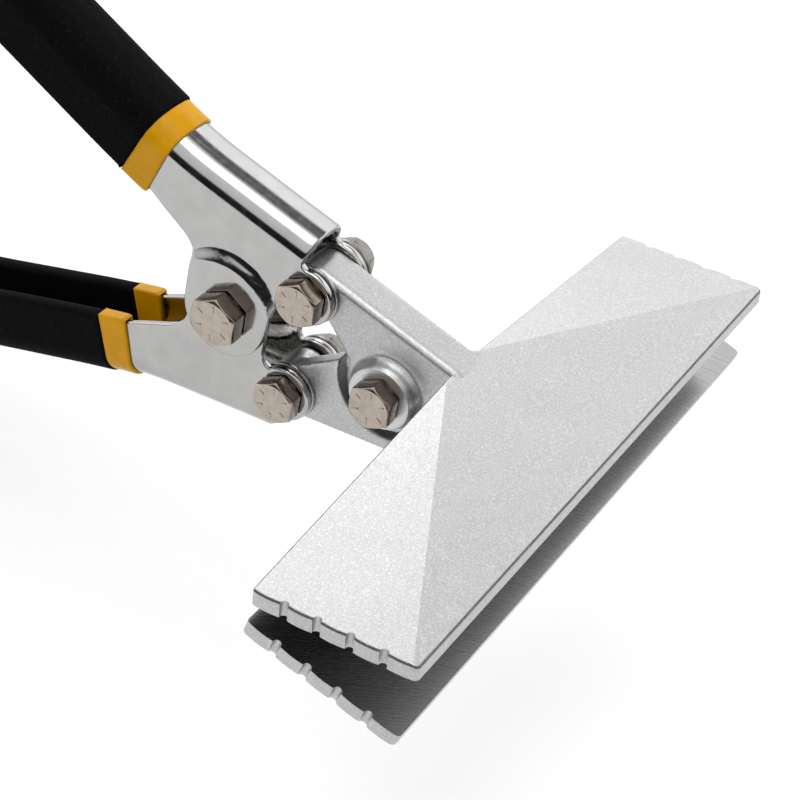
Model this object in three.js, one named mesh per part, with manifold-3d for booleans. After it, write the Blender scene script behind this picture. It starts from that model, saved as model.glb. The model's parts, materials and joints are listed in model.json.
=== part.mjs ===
// Compound-leverage hand seamer with a wide straight jaw: two cast jaws, two pressed
// channel handles, dipped grips and four hexagon bolts with lock nuts.
// Millimetres. X runs forward to the jaw tips, Y along the pivots, Z up.
// The upper and lower halves are the same castings and pressings, turned half a turn about X.
import * as THREE from 'three';
import { mergeVertices } from 'three/addons/utils/BufferGeometryUtils.js';
import Module from 'manifold-3d';

const wasm = await Module();
wasm.setup();

// ---------------------------------------------------------------- driving dimensions
const GAP = 0.15;                 // clearance between neighbouring pieces
const OPEN = THREE.MathUtils.degToRad(8.77);   // each jaw's angle from closed, at rest

const JAW_WIDTH = 203.2;          // 8 in bending edge
const JAW_DEPTH = 47.6;           // 1 7/8 in from back edge to bending edge
const PLATE_BACK = 19.05;         // jaw pivot to the plate's back edge
const EDGE_THICK = 4.3;           // plate at the bending edge
const BACK_THICK = 5.0;           // plate at its back corners
const ROOT_THICK = 12.5;          // plate where the arm grows out of it
const ROOT_HALF = 8;              // half width of that thick root
const FACE_GAP = 0.2;             // half the gap left between closed jaws
const CORNER_R = 3;
const NOTCH_COUNT = 4;            // depth marks on each end, 3/8 in apart
const NOTCH_R = 1.1;
const SCALLOP = 0.6;              // how far the end edge bulges between two notches

const ARM_HALF = 6.3;             // half thickness of a jaw arm
const ARM_END_R = 8.2;            // round end of the arm about its link pin
const LUG_R = 13.4;               // half-lap lug about the jaw pivot
const POCKET_R = 16.4;            // hollow in the other jaw that clears the lug
const BOSS_R = 10.3;
const BOSS_FACE = 10.9;           // boss face from the middle plane

const LINK = new THREE.Vector2(-29.6, 18.1);   // handle-to-jaw pin, jaw pivot at 0,0
const HANDLE_PIVOT_X = -52.1;

const WALL_HALF = 10;             // handle channel, outer half width
const SHEET = 2.4;
const BEND_R = 5;                 // outer bend of the channel
const BEND_STEPS = 3;
const WALL_IN = WALL_HALF - SHEET;
const EAR_R = 13.8;               // handle ear about the handle pivot
const INNER_EAR_R = 13.0;         // the flat ear that lies under the joggled one
const LINK_EAR_R = 8.7;
const JOGGLE_X = -53.4;           // centre of the round joggle
const JOGGLE_R = 15.6;            // flat inside the joggle
const JOGGLE_RUN = 5;             // radial length of the joggle's slope
const EAR_OUT = WALL_HALF + GAP + SHEET;       // joggled ear's outer face
const HANDLE_DEPTH = 20;          // channel depth under the grip
const COLLAR_FRONT_X = -79;       // where the collar's front edge crosses the web

const COLLAR_LENGTH = 8.5;
const GRIP_OVER = 1.5;            // grip thickness outside the steel
const GRIP_UNDER = 1.2;           // and inside the channel
const GRIP_LIP = 0.9;             // and past the channel's mouth edges
const COLLAR_OVER = 1.0;

const M8 = { shank: 3.97, flats: 12.7, head: 5.3, nut: 6.6 };    // 5/16 in
const M10 = { shank: 4.76, flats: 14.29, head: 5.95, nut: 8.0 }; // 3/8 in
const BORE_GAP = 0.15;            // bolt in its own bore
const PIVOT_GAP = 0.6;            // open pivot: handle bolt in the lower handle's ears
const WASHER = 1.0;
const NUT_WASHER = { over: 2.2, thick: 1.6 };  // past the nut's flats, and its thickness
const BUSH_WALL = 1.7;
const HEX_TURN = -0.05;            // how far the hexagons happen to be turned

// Web centre line of the upper handle, outer surface, from the link end to the grip's end.
const WEB = [[-31.5, 34.4], [-54, 38.4], [-76, 42.8], [-92, 48.3], [-114, 57], [-140, 67.3],
  [-170, 77.8], [-200, 85.5], [-230, 90.2]];

// ---------------------------------------------------------------- materials
const finish = (color, roughness, metalness) =>
  new THREE.MeshStandardMaterial({ color, roughness, metalness });
const CAST = finish(0xdadadc, 0.5, 0.9);
const CHROME = finish(0xc4c5c6, 0.15, 1);
const NICKEL = finish(0xb9ae9c, 0.3, 1);
const ZINC = finish(0xb4b3ae, 0.35, 1);
const FOAM = finish(0x191919, 0.9, 0);
const YELLOW = finish(0xdca50c, 0.35, 0);

// ---------------------------------------------------------------- solids
function solid(geometry) {
  const plain = geometry.clone();
  plain.deleteAttribute('normal');
  plain.deleteAttribute('uv');
  const merged = mergeVertices(plain, 1e-4);
  return new wasm.Manifold(new wasm.Mesh({
    numProp: 3,
    vertProperties: new Float32Array(merged.attributes.position.array),
    triVerts: new Uint32Array(merged.index.array),
  }));
}

function unite(...parts) {
  return parts.reduce((whole, part) => whole.add(part));
}

function geometryOf(manifold) {
  const mesh = manifold.getMesh();
  const geometry = new THREE.BufferGeometry();
  const position = new Float32Array(mesh.numVert * 3);
  for (let i = 0; i < mesh.numVert; i += 1) {
    for (let k = 0; k < 3; k += 1) position[3 * i + k] = mesh.vertProperties[mesh.numProp * i + k];
  }
  geometry.setAttribute('position', new THREE.BufferAttribute(position, 3));
  geometry.setIndex(new THREE.BufferAttribute(new Uint32Array(mesh.triVerts), 1));
  const flat = geometry.toNonIndexed();
  flat.computeVertexNormals();
  return flat;
}

// A side-view outline in X and Z, drawn as a shape and made solid between two Y planes.
function slab(shape, y0, y1, curveSegments = 16) {
  const geometry = new THREE.ExtrudeGeometry(shape,
    { depth: y1 - y0, bevelEnabled: false, curveSegments });
  geometry.rotateX(Math.PI / 2);
  geometry.translate(0, y1, 0);
  return solid(geometry);
}

// A round bar along Y between two Y planes.
function bar(radius, y0, y1, x = 0, z = 0, sides = 20) {
  const geometry = new THREE.CylinderGeometry(radius, radius, y1 - y0, sides);
  geometry.translate(x, (y0 + y1) / 2, z);
  return solid(geometry);
}

// A hexagon prism along Y, measured across its flats.
function hexagon(flats, y0, y1, x, z, turn = 0) {
  const radius = flats / 2 / Math.cos(Math.PI / 6);
  const geometry = new THREE.CylinderGeometry(radius, radius, y1 - y0, 6);
  geometry.rotateY(turn);
  geometry.translate(x, (y0 + y1) / 2, z);
  return solid(geometry);
}

// A body of equal cross-sections: every ring has the same number of points, in order.
function loft(rings) {
  const count = rings[0].length;
  const position = rings.flat().flatMap((point) => point.toArray());
  const index = [];
  for (let i = 0; i < rings.length - 1; i += 1) {
    for (let j = 0; j < count; j += 1) {
      const a = i * count + j;
      const b = i * count + ((j + 1) % count);
      index.push(a, a + count, b, b, a + count, b + count);
    }
  }
  const start = rings[0][0];
  const along = rings[1][0].clone().sub(start).normalize();
  const side = new THREE.Vector3(0, 1, 0);
  const up = side.clone().cross(along);
  const flat = (ring) => ring.map((p) => new THREE.Vector2(p.dot(side), p.dot(up)));
  const cap = THREE.ShapeUtils.triangulateShape(flat(rings[0]), []);
  const last = (rings.length - 1) * count;
  for (const [a, b, c] of cap) {
    index.push(a, b, c);
    index.push(last + a, last + c, last + b);
  }
  const geometry = new THREE.BufferGeometry();
  geometry.setAttribute('position', new THREE.Float32BufferAttribute(position, 3));
  geometry.setIndex(index);
  return solid(geometry);
}

// ---------------------------------------------------------------- jaws
// The plate's outline seen from above: square back edge, scalloped ends, rounded corners.
function plateOutline() {
  const half = JAW_WIDTH / 2;
  const front = PLATE_BACK + JAW_DEPTH;
  const pitch = JAW_DEPTH / (NOTCH_COUNT + 1);
  const shape = new THREE.Shape();
  shape.moveTo(PLATE_BACK, -half);
  const bulge = (x0, x1, y, sign) => {
    shape.quadraticCurveTo((x0 + x1) / 2, y + sign * 2 * SCALLOP, x1, y);
  };
  for (let i = 0; i < NOTCH_COUNT; i += 1) {
    bulge(PLATE_BACK + i * pitch, PLATE_BACK + (i + 1) * pitch, -half, -1);
  }
  bulge(front - pitch, front - CORNER_R, -half, -0.6);
  shape.quadraticCurveTo(front, -half, front, -half + CORNER_R);
  shape.lineTo(front, half - CORNER_R);
  shape.quadraticCurveTo(front, half, front - CORNER_R, half);
  bulge(front - CORNER_R, front - pitch, half, 0.6);
  for (let i = NOTCH_COUNT; i > 0; i -= 1) {
    bulge(PLATE_BACK + i * pitch, PLATE_BACK + (i - 1) * pitch, half, 1);
  }
  return shape;
}

// The faceted top of the plate: a ramp from the thick root to the bending edge's two
// corners, and a flatter facet on each side of it.
function plateFacets() {
  const front = PLATE_BACK + JAW_DEPTH;
  const half = JAW_WIDTH / 2 + 2;
  const low = FACE_GAP;
  const corners = [
    [PLATE_BACK, -half, low], [PLATE_BACK, half, low], [front, half, low], [front, -half, low],
    [PLATE_BACK, -half, low + BACK_THICK], [PLATE_BACK, half, low + BACK_THICK],
    [front, half, low + EDGE_THICK], [front, -half, low + EDGE_THICK],
    [PLATE_BACK, -ROOT_HALF, low + ROOT_THICK], [PLATE_BACK, ROOT_HALF, low + ROOT_THICK],
  ];
  const faces = [
    0, 1, 2, 0, 2, 3,
    3, 2, 6, 3, 6, 7,
    0, 3, 7, 0, 7, 4,
    2, 1, 5, 2, 5, 6,
    7, 6, 9, 7, 9, 8,
    4, 7, 8, 5, 9, 6,
    0, 4, 8, 0, 8, 9, 0, 9, 5, 0, 5, 1,
  ];
  const geometry = new THREE.BufferGeometry();
  geometry.setAttribute('position', new THREE.Float32BufferAttribute(corners.flat(), 3));
  geometry.setIndex(faces);
  return solid(geometry);
}

function jawPlate() {
  const outline = new THREE.ExtrudeGeometry(plateOutline(),
    { depth: 2 * ROOT_THICK, bevelEnabled: false, curveSegments: 5 });
  outline.translate(0, 0, -ROOT_THICK / 2);
  let plate = solid(outline).intersect(plateFacets());
  const pitch = JAW_DEPTH / (NOTCH_COUNT + 1);
  for (let i = 1; i <= NOTCH_COUNT; i += 1) {
    for (const side of [-1, 1]) {
      const notch = new THREE.CylinderGeometry(NOTCH_R, NOTCH_R, 2 * ROOT_THICK, 12);
      notch.rotateX(Math.PI / 2);
      notch.translate(PLATE_BACK + i * pitch, side * (JAW_WIDTH / 2 + 0.1), 0);
      plate = plate.subtract(solid(notch));
    }
  }
  return plate;
}

// The link pin's place in the closed jaw's own frame.
const LINK_CLOSED = LINK.clone().rotateAround(new THREE.Vector2(), -OPEN);

// Outline of the arm on the side that carries the lug.
function lugSideOutline() {
  const { x, y } = LINK_CLOSED;
  const slope = THREE.MathUtils.degToRad(17);
  const shape = new THREE.Shape();
  shape.moveTo(PLATE_BACK + 1, FACE_GAP);
  shape.lineTo(PLATE_BACK + 1, ROOT_THICK + 3.2);
  shape.absarc(x, y, ARM_END_R, Math.PI / 2 - slope, Math.PI * 1.72, false);
  shape.lineTo(-13.2, 5.4);
  shape.lineTo(-LUG_R, 0);
  shape.absarc(0, 0, LUG_R, Math.PI, 2 * Math.PI, false);
  shape.closePath();
  return shape;
}

// Outline of the arm on the other side, hollowed to clear the opposite lug.
function pocketSideOutline() {
  const { x, y } = LINK_CLOSED;
  const slope = THREE.MathUtils.degToRad(17);
  const shape = new THREE.Shape();
  shape.moveTo(PLATE_BACK + 1, FACE_GAP);
  shape.lineTo(PLATE_BACK + 1, ROOT_THICK + 3.2);
  shape.absarc(x, y, ARM_END_R, Math.PI / 2 - slope, Math.PI * 1.42, false);
  shape.lineTo(-POCKET_R - 0.5, 1.6);
  shape.lineTo(-POCKET_R * Math.cos(0.03), POCKET_R * Math.sin(0.03));
  shape.absarc(0, 0, POCKET_R, Math.PI - 0.03, 0.012, true);
  shape.closePath();
  return shape;
}

function jawArm() {
  const lugSide = slab(lugSideOutline(), -ARM_HALF, -GAP);
  const pocketSide = slab(pocketSideOutline(), GAP, ARM_HALF);
  const web = slab(lugSideOutline(), -1, GAP + 0.01)
    .intersect(slab(pocketSideOutline(), -1, GAP + 0.01));
  const boss = bar(BOSS_R, -BOSS_FACE, -1, 0, 0, 28);
  return unite(lugSide, web, pocketSide, boss, rootGusset());
}

// Concave fillets between the arm's flanks and the plate's back edge.
function rootGusset() {
  const reach = 5;
  const shape = new THREE.Shape();
  shape.moveTo(PLATE_BACK + 1, -ARM_HALF - reach);
  shape.quadraticCurveTo(PLATE_BACK, -ARM_HALF, PLATE_BACK - reach, -ARM_HALF);
  shape.lineTo(PLATE_BACK - reach, ARM_HALF);
  shape.quadraticCurveTo(PLATE_BACK, ARM_HALF, PLATE_BACK + 1, ARM_HALF + reach);
  shape.closePath();
  const geometry = new THREE.ExtrudeGeometry(shape,
    { depth: ROOT_THICK - 4, bevelEnabled: false, curveSegments: 6 });
  geometry.translate(0, 0, FACE_GAP + 4);
  return solid(geometry).subtract(bar(POCKET_R, -20, 20, 0, 0, 32));
}

// One jaw, upper, in its closed frame with the pivot at the origin.
function jawSolid() {
  const bushRoom = M8.shank + BUSH_WALL + 2 * BORE_GAP;
  const pivotBore = bar(bushRoom, -20, 20, 0, 0, 24);
  const linkBore = bar(bushRoom, -20, 20, LINK_CLOSED.x, LINK_CLOSED.y, 24);
  return unite(jawPlate(), jawArm()).subtract(pivotBore).subtract(linkBore);
}

// ---------------------------------------------------------------- handles
const webCurve = new THREE.CatmullRomCurve3(WEB.map(([x, z]) => new THREE.Vector3(x, 0, z)),
  false, 'centripetal');
const WEB_LENGTH = webCurve.getLength();

// Where a distance along the web is, with its outward normal.
function station(distance) {
  const t = distance / WEB_LENGTH;
  const point = webCurve.getPointAt(t);
  const along = webCurve.getTangentAt(t);
  const out = new THREE.Vector3(0, 1, 0).cross(along);
  return { point, out };
}

// Points of a U: down the outside from one mouth edge, round the web and back inside.
function channelSection({ half, bend, top, inHalf, inBend, inTop, depth }) {
  const points = [];
  const corner = (y, n, radius, from) => {
    const steps = BEND_STEPS;
    for (let i = 0; i <= steps; i += 1) {
      const angle = from + (i / steps) * (Math.PI / 2);
      points.push([y + radius * Math.cos(angle), n + radius * Math.sin(angle)]);
    }
  };
  points.push([half, -depth]);
  corner(half - bend, top - bend, bend, 0);
  corner(bend - half, top - bend, bend, Math.PI / 2);
  points.push([-half, -depth]);
  const outer = points.splice(0);
  points.push([inHalf, -depth]);
  corner(inHalf - inBend, inTop - inBend, inBend, 0);
  corner(inBend - inHalf, inTop - inBend, inBend, Math.PI / 2);
  points.push([-inHalf, -depth]);
  return outer.concat(points.reverse());
}

// A U-section body along the web between two distances.
function channel(from, to, steps, section) {
  const outline = channelSection(section);
  const rings = [];
  for (let i = 0; i <= steps; i += 1) {
    const { point, out } = station(from + (i / steps) * (to - from));
    rings.push(outline.map(([y, n]) => point.clone().addScaledVector(out, n).setY(y)));
  }
  return loft(rings);
}

// Distance along the web whose point has the given X.
function distanceAt(x) {
  let low = 0;
  let high = WEB_LENGTH;
  for (let i = 0; i < 40; i += 1) {
    const middle = (low + high) / 2;
    if (webCurve.getPointAt(middle / WEB_LENGTH).x > x) low = middle;
    else high = middle;
  }
  return low;
}

const COLLAR_START = distanceAt(COLLAR_FRONT_X);
const GRIP_START = COLLAR_START + COLLAR_LENGTH;
const DEEP_END = COLLAR_START + 6;    // the deep front of the channel ends under the collar
const LIP = 0.3;                      // and is this much shallower there
const steelSection = {
  half: WALL_HALF, bend: BEND_R, top: 0, inHalf: WALL_IN, inBend: BEND_R - SHEET, inTop: -SHEET,
};

// Side view of a handle wall in front of the grip: mouth edge, pivot ear, link ear.
function wallOutline(earRadius) {
  const rear = station(DEEP_END);
  const mouth = rear.point.clone().addScaledVector(rear.out, LIP - HANDLE_DEPTH);
  const collar = station(COLLAR_START - 0.5);
  const lip = collar.point.clone().addScaledVector(collar.out, LIP - HANDLE_DEPTH);
  const top = rear.point.clone().addScaledVector(rear.out, 3);
  const front = HANDLE_PIVOT_X + earRadius;
  const back = HANDLE_PIVOT_X - earRadius;
  const shape = new THREE.Shape();
  shape.moveTo(top.x, top.z);
  shape.lineTo(mouth.x, mouth.z);
  shape.lineTo(lip.x, lip.z);
  shape.lineTo(-71.2, 17.2);
  shape.quadraticCurveTo(back - 0.6, 14.2, back - 0.3, 9);
  shape.lineTo(back, 0);
  shape.absarc(HANDLE_PIVOT_X, 0, earRadius, Math.PI, 2 * Math.PI, false);
  shape.lineTo(front + 0.3, 8);
  shape.quadraticCurveTo(front + 0.6, 10.6, LINK.x - 6.2, LINK.y - 6.1);
  shape.absarc(LINK.x, LINK.y, LINK_EAR_R, Math.PI * 1.25, Math.PI * 0.56 + 2 * Math.PI, false);
  shape.lineTo(-31.6, 29.5);
  shape.lineTo(-31.6, 42);
  shape.lineTo(-50, 46);
  shape.closePath();
  return shape;
}

// A ring of sheet turned about the joggle's axis: raised flat, slope, wall level.
function joggleRing() {
  const rise = SHEET + GAP;
  const inner = WALL_IN;
  const profile = [
    [0, inner + rise], [JOGGLE_R - 0.8, inner + rise], [JOGGLE_R + JOGGLE_RUN - 0.8, inner],
    [JOGGLE_R + JOGGLE_RUN + 8, inner], [JOGGLE_R + JOGGLE_RUN + 8, WALL_HALF],
    [JOGGLE_R + JOGGLE_RUN, WALL_HALF], [JOGGLE_R, WALL_HALF + rise], [0, WALL_HALF + rise],
  ].map(([r, y]) => new THREE.Vector2(r, y));
  const geometry = new THREE.LatheGeometry(profile.concat(profile[0].clone()), 40);
  geometry.rotateX(Math.PI);
  geometry.translate(JOGGLE_X, 0, 0);
  return solid(geometry);
}

function handleSolid() {
  const shell = channel(0, DEEP_END + 2, 6, { ...steelSection, depth: 66 });
  const joggled = bar(JOGGLE_R + JOGGLE_RUN + 1, -30, -5, JOGGLE_X, 0, 40);
  const ear = joggleRing().intersect(slab(wallOutline(EAR_R), -30, 0)).intersect(joggled);
  const walls = slab(wallOutline(INNER_EAR_R), -WALL_HALF - 1, WALL_HALF + 1);
  const front = shell.intersect(walls).subtract(joggled);
  const rear = channel(DEEP_END - 1, WEB_LENGTH - 4, 12, { ...steelSection, depth: HANDLE_DEPTH });
  const linkBore = bar(M8.shank + BORE_GAP, -20, 20, LINK.x, LINK.y);
  return unite(front, ear, rear).subtract(linkBore);
}

// ---------------------------------------------------------------- grips
function gripSection(over, under) {
  return {
    half: WALL_HALF + over, bend: BEND_R + over, top: over,
    inHalf: WALL_IN - under, inBend: BEND_R - SHEET - under, inTop: -SHEET - under,
    depth: HANDLE_DEPTH + GRIP_LIP,
  };
}

// The space a grip leaves for the steel it is dipped over.
function steelClearance(from, to, steps) {
  return channel(from, to, steps, {
    half: WALL_HALF + GAP, bend: BEND_R + GAP, top: GAP,
    inHalf: WALL_IN - GAP, inBend: BEND_R - SHEET - GAP, inTop: -SHEET - GAP,
    depth: HANDLE_DEPTH + GAP,
  });
}

function collarSolid() {
  const skin = channel(COLLAR_START, GRIP_START - GAP, 2, gripSection(COLLAR_OVER, GRIP_UNDER));
  return skin.subtract(steelClearance(COLLAR_START - 2, GRIP_START + 2, 4));
}

function gripSolid() {
  const skin = channel(GRIP_START + GAP, WEB_LENGTH, 11, gripSection(GRIP_OVER, GRIP_UNDER));
  const room = steelClearance(GRIP_START - 2, WEB_LENGTH - 3.5, 11);
  return skin.subtract(room);
}

// ---------------------------------------------------------------- fasteners
// A hexagon bolt: head on the near side, shank through to the far side.
function bolt(size, headFace, end, x, z) {
  const head = hexagon(size.flats, headFace - size.head, headFace, x, z, HEX_TURN);
  return unite(head, bar(size.shank, headFace - 1, end, x, z));
}

function nut(size, from, x, z) {
  const block = hexagon(size.flats, from, from + size.nut, x, z, HEX_TURN);
  return block.subtract(bar(size.shank + BORE_GAP, from - 1, from + size.nut + 1, x, z));
}

function ring(outer, inner, y0, y1, x, z) {
  return bar(outer, y0, y1, x, z, 24).subtract(bar(inner, y0 - 1, y1 + 1, x, z));
}

// A sleeve that carries a pivot, so that its nut can be tight and the joint still turn.
function bush(size, length, x, z) {
  return ring(size.shank + BORE_GAP + BUSH_WALL, size.shank + BORE_GAP,
    -length / 2, length / 2, x, z);
}

// ---------------------------------------------------------------- assembly
const tool = new THREE.Group();
const upper = new THREE.Group();
const lower = new THREE.Group();
lower.rotation.x = Math.PI;
tool.add(upper, lower);

function addMesh(group, name, body, material) {
  const mesh = new THREE.Mesh(geometryOf(body), material);
  mesh.name = name;
  group.add(mesh);
  return mesh;
}

function addHalf(group, prefix) {
  addMesh(group, `${prefix}_jaw`, jawSolid(), CAST).rotation.y = -OPEN;
  const bore = group === upper ? BORE_GAP : PIVOT_GAP;
  const pivotBore = bar(M10.shank + bore, -20, 20, HANDLE_PIVOT_X, 0);
  addMesh(group, `${prefix}_handle`, handleSolid().subtract(pivotBore), CHROME);
  addMesh(group, `${prefix}_grip_collar`, collarSolid(), YELLOW);
  addMesh(group, `${prefix}_grip`, gripSolid(), FOAM);
}

addHalf(upper, 'upper');
addHalf(lower, 'lower');

// A lock nut on a flat washer, the first face of the washer at the given Y.
function addNut(name, size, from, x, z) {
  const { over, thick } = NUT_WASHER;
  addMesh(tool, `${name}_washer`,
    ring(size.flats / 2 + over, size.shank + BORE_GAP, from, from + thick, x, z), ZINC);
  addMesh(tool, `${name}_nut`, nut(size, from + thick + GAP, x, z), ZINC);
}

// Link pins, with a bush and a thin washer on each side of the arm.
function addLink(prefix, z) {
  const { x } = LINK;
  addMesh(tool, `${prefix}_link_bolt`, bolt(M8, -WALL_HALF - GAP, 20.4, x, z), NICKEL);
  addMesh(tool, `${prefix}_link_bush`, bush(M8, 2 * (WALL_IN - GAP), x, z), ZINC);
  addNut(`${prefix}_link`, M8, WALL_HALF + GAP, x, z);
  for (const [side, sign] of [['near', -1], ['far', 1]]) {
    const face = sign * (ARM_HALF + GAP);
    const [low, high] = [face, face + sign * WASHER].sort((a, b) => a - b);
    addMesh(tool, `${prefix}_link_shim_${side}`,
      ring(LINK_EAR_R + 0.4, M8.shank + BUSH_WALL + 2 * BORE_GAP, low, high, x, z), ZINC);
  }
}

addLink('upper', LINK.y);
addLink('lower', -LINK.y);

// Handle pivot: bolt through both pairs of ears, a spacer between the walls.
addMesh(tool, 'handle_pivot_bolt', bolt(M10, -EAR_OUT - GAP, 24.4, HANDLE_PIVOT_X, 0), NICKEL);
addMesh(tool, 'handle_pivot_spacer', bush(M10, 2 * (WALL_IN - GAP), HANDLE_PIVOT_X, 0), ZINC);
addNut('handle_pivot', M10, EAR_OUT + GAP, HANDLE_PIVOT_X, 0);

// Jaw pivot: bolt through both half-lap lugs.
addMesh(tool, 'jaw_pivot_bolt', bolt(M8, -BOSS_FACE - GAP, 21, 0, 0), NICKEL);
addMesh(tool, 'jaw_pivot_bush', bush(M8, 2 * BOSS_FACE, 0, 0), ZINC);
addNut('jaw_pivot', M8, BOSS_FACE + GAP, 0, 0);

// The origin is the middle of the tool's box.
tool.updateMatrixWorld(true);
const middle = new THREE.Box3().setFromObject(tool, true).getCenter(new THREE.Vector3());
tool.position.set(-middle.x, 0, 0);

export default tool;
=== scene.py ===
"""A wide-jaw sheet metal hand seamer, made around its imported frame.

Sizes in the classes are millimetres in the tool's own axes: X forward from the jaw pivot,
Y along the pivots away from the bolt heads, Z up. The lower half of the tool is the upper
half turned half a turn about X.
"""

import json
import logging
import math
from collections.abc import Sequence
from dataclasses import dataclass, field
from enum import Enum

import bmesh
import bpy
import numpy as np
from mathutils import Matrix, Vector
from mathutils.geometry import delaunay_2d_cdt


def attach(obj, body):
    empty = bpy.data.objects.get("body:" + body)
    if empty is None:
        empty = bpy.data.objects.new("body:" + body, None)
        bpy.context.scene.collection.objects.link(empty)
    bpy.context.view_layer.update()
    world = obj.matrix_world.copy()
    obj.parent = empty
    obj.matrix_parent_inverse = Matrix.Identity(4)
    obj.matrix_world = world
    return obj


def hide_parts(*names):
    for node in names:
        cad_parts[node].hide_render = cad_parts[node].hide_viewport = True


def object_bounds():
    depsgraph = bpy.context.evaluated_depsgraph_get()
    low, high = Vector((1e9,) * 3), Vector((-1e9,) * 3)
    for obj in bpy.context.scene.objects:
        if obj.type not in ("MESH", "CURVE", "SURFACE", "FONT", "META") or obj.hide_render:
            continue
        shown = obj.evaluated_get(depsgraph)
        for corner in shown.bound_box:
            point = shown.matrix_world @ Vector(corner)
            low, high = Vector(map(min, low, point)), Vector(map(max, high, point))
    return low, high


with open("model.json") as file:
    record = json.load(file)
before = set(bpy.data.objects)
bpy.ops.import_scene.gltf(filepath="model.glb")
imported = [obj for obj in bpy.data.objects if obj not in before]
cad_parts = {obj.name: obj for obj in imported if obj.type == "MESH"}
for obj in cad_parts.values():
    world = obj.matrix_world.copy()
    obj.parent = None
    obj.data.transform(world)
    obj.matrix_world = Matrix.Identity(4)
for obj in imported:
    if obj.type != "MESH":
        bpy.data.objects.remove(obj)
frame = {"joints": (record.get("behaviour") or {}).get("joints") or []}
CAD_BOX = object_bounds()

log = logging.getLogger("seamer")

MM = 0.001
GAP = 0.15                       # room between two pieces that meet
PIVOT_GAP = 0.6                  # room round the bolt in the lower handle's open pivot
OPEN = math.radians(8.77)        # how far each jaw is turned from shut
SHEET = 2.4                      # thickness of the handles' steel
WALL_HALF = 10.0                 # handle channel, from the middle to a wall's outer face
WALL_IN = WALL_HALF - SHEET
ARM_HALF = 6.3                   # jaw arm, from the middle to a flank
BOSS_FACE = 10.9                 # jaw boss, from the middle to its turned face
BUSH_WALL = 1.7
HEX_CORNER = math.radians(32.9)  # where a bolt head's first corner points
LINK = (-29.6, 18.1)             # upper link pin, X and Z
HANDLE_PIVOT_X = -52.1


def jaw_pivot_place() -> Vector:
    """Returns the jaw pivot's place in the frame, in metres."""
    joint = next(j for j in frame["joints"] if j["name"] == "jaw_pivot")
    return Vector(joint["pos_m"])


PIVOT = jaw_pivot_place()
TO_ROW = Matrix.Translation(PIVOT) @ Matrix.Scale(MM, 4)


class Half(Enum):
    """The tool's two matching halves."""

    UPPER = "upper"
    LOWER = "lower"

    def turn(self) -> Matrix:
        """Returns the half turn about X that makes the lower half."""
        return Matrix.Rotation(math.pi if self is Half.LOWER else 0.0, 4, "X")

    def jaw_place(self) -> Matrix:
        """Returns the matrix from a closed jaw's millimetres to its place at rest."""
        return TO_ROW @ self.turn() @ Matrix.Rotation(-OPEN, 4, "Y")

    def body(self, part: str) -> str:
        """Returns the name of the body that this half's jaw or handle belongs to."""
        return f"{self.value}_{part}_body"

    def sign(self) -> int:
        """Returns 1 for the upper half and -1 for the lower."""
        return 1 if self is Half.UPPER else -1


class Slot(Enum):
    """The record's material slots."""

    CAST = "cast_metal"
    CHROME = "chrome_plate"
    NICKEL = "bolt_nickel"
    ZINC = "zinc_steel"
    STEEL = "plain_steel"
    GRIP = "grip_foam"
    COLLAR = "collar_yellow"


class Side(Enum):
    """Which way a fastener's outer end faces along Y."""

    NEAR = -1
    FAR = 1

    def place(self, x: float, y: float, z: float) -> Matrix:
        """Stands a piece made along +Z at a point, facing outwards.

        Args:
            x: Place forward of the jaw pivot.
            y: Place along the pivots.
            z: Place above the jaw pivot.

        Returns:
            The matrix from the piece's own millimetres to the frame's metres.
        """
        turn = Matrix.Rotation(-self.value * math.pi / 2, 4, "X")
        return TO_ROW @ Matrix.Translation((x, y, z)) @ turn


@dataclass(frozen=True)
class BoltSize:
    """The sizes of a hexagon bolt and its lock nut, the shank's as a radius."""

    shank: float
    flats: float
    head: float
    nut: float
    pitch: float


SMALL = BoltSize(3.97, 12.7, 5.3, 6.6, 1.41)
LARGE = BoltSize(4.76, 14.29, 5.95, 8.0, 1.59)


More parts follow.
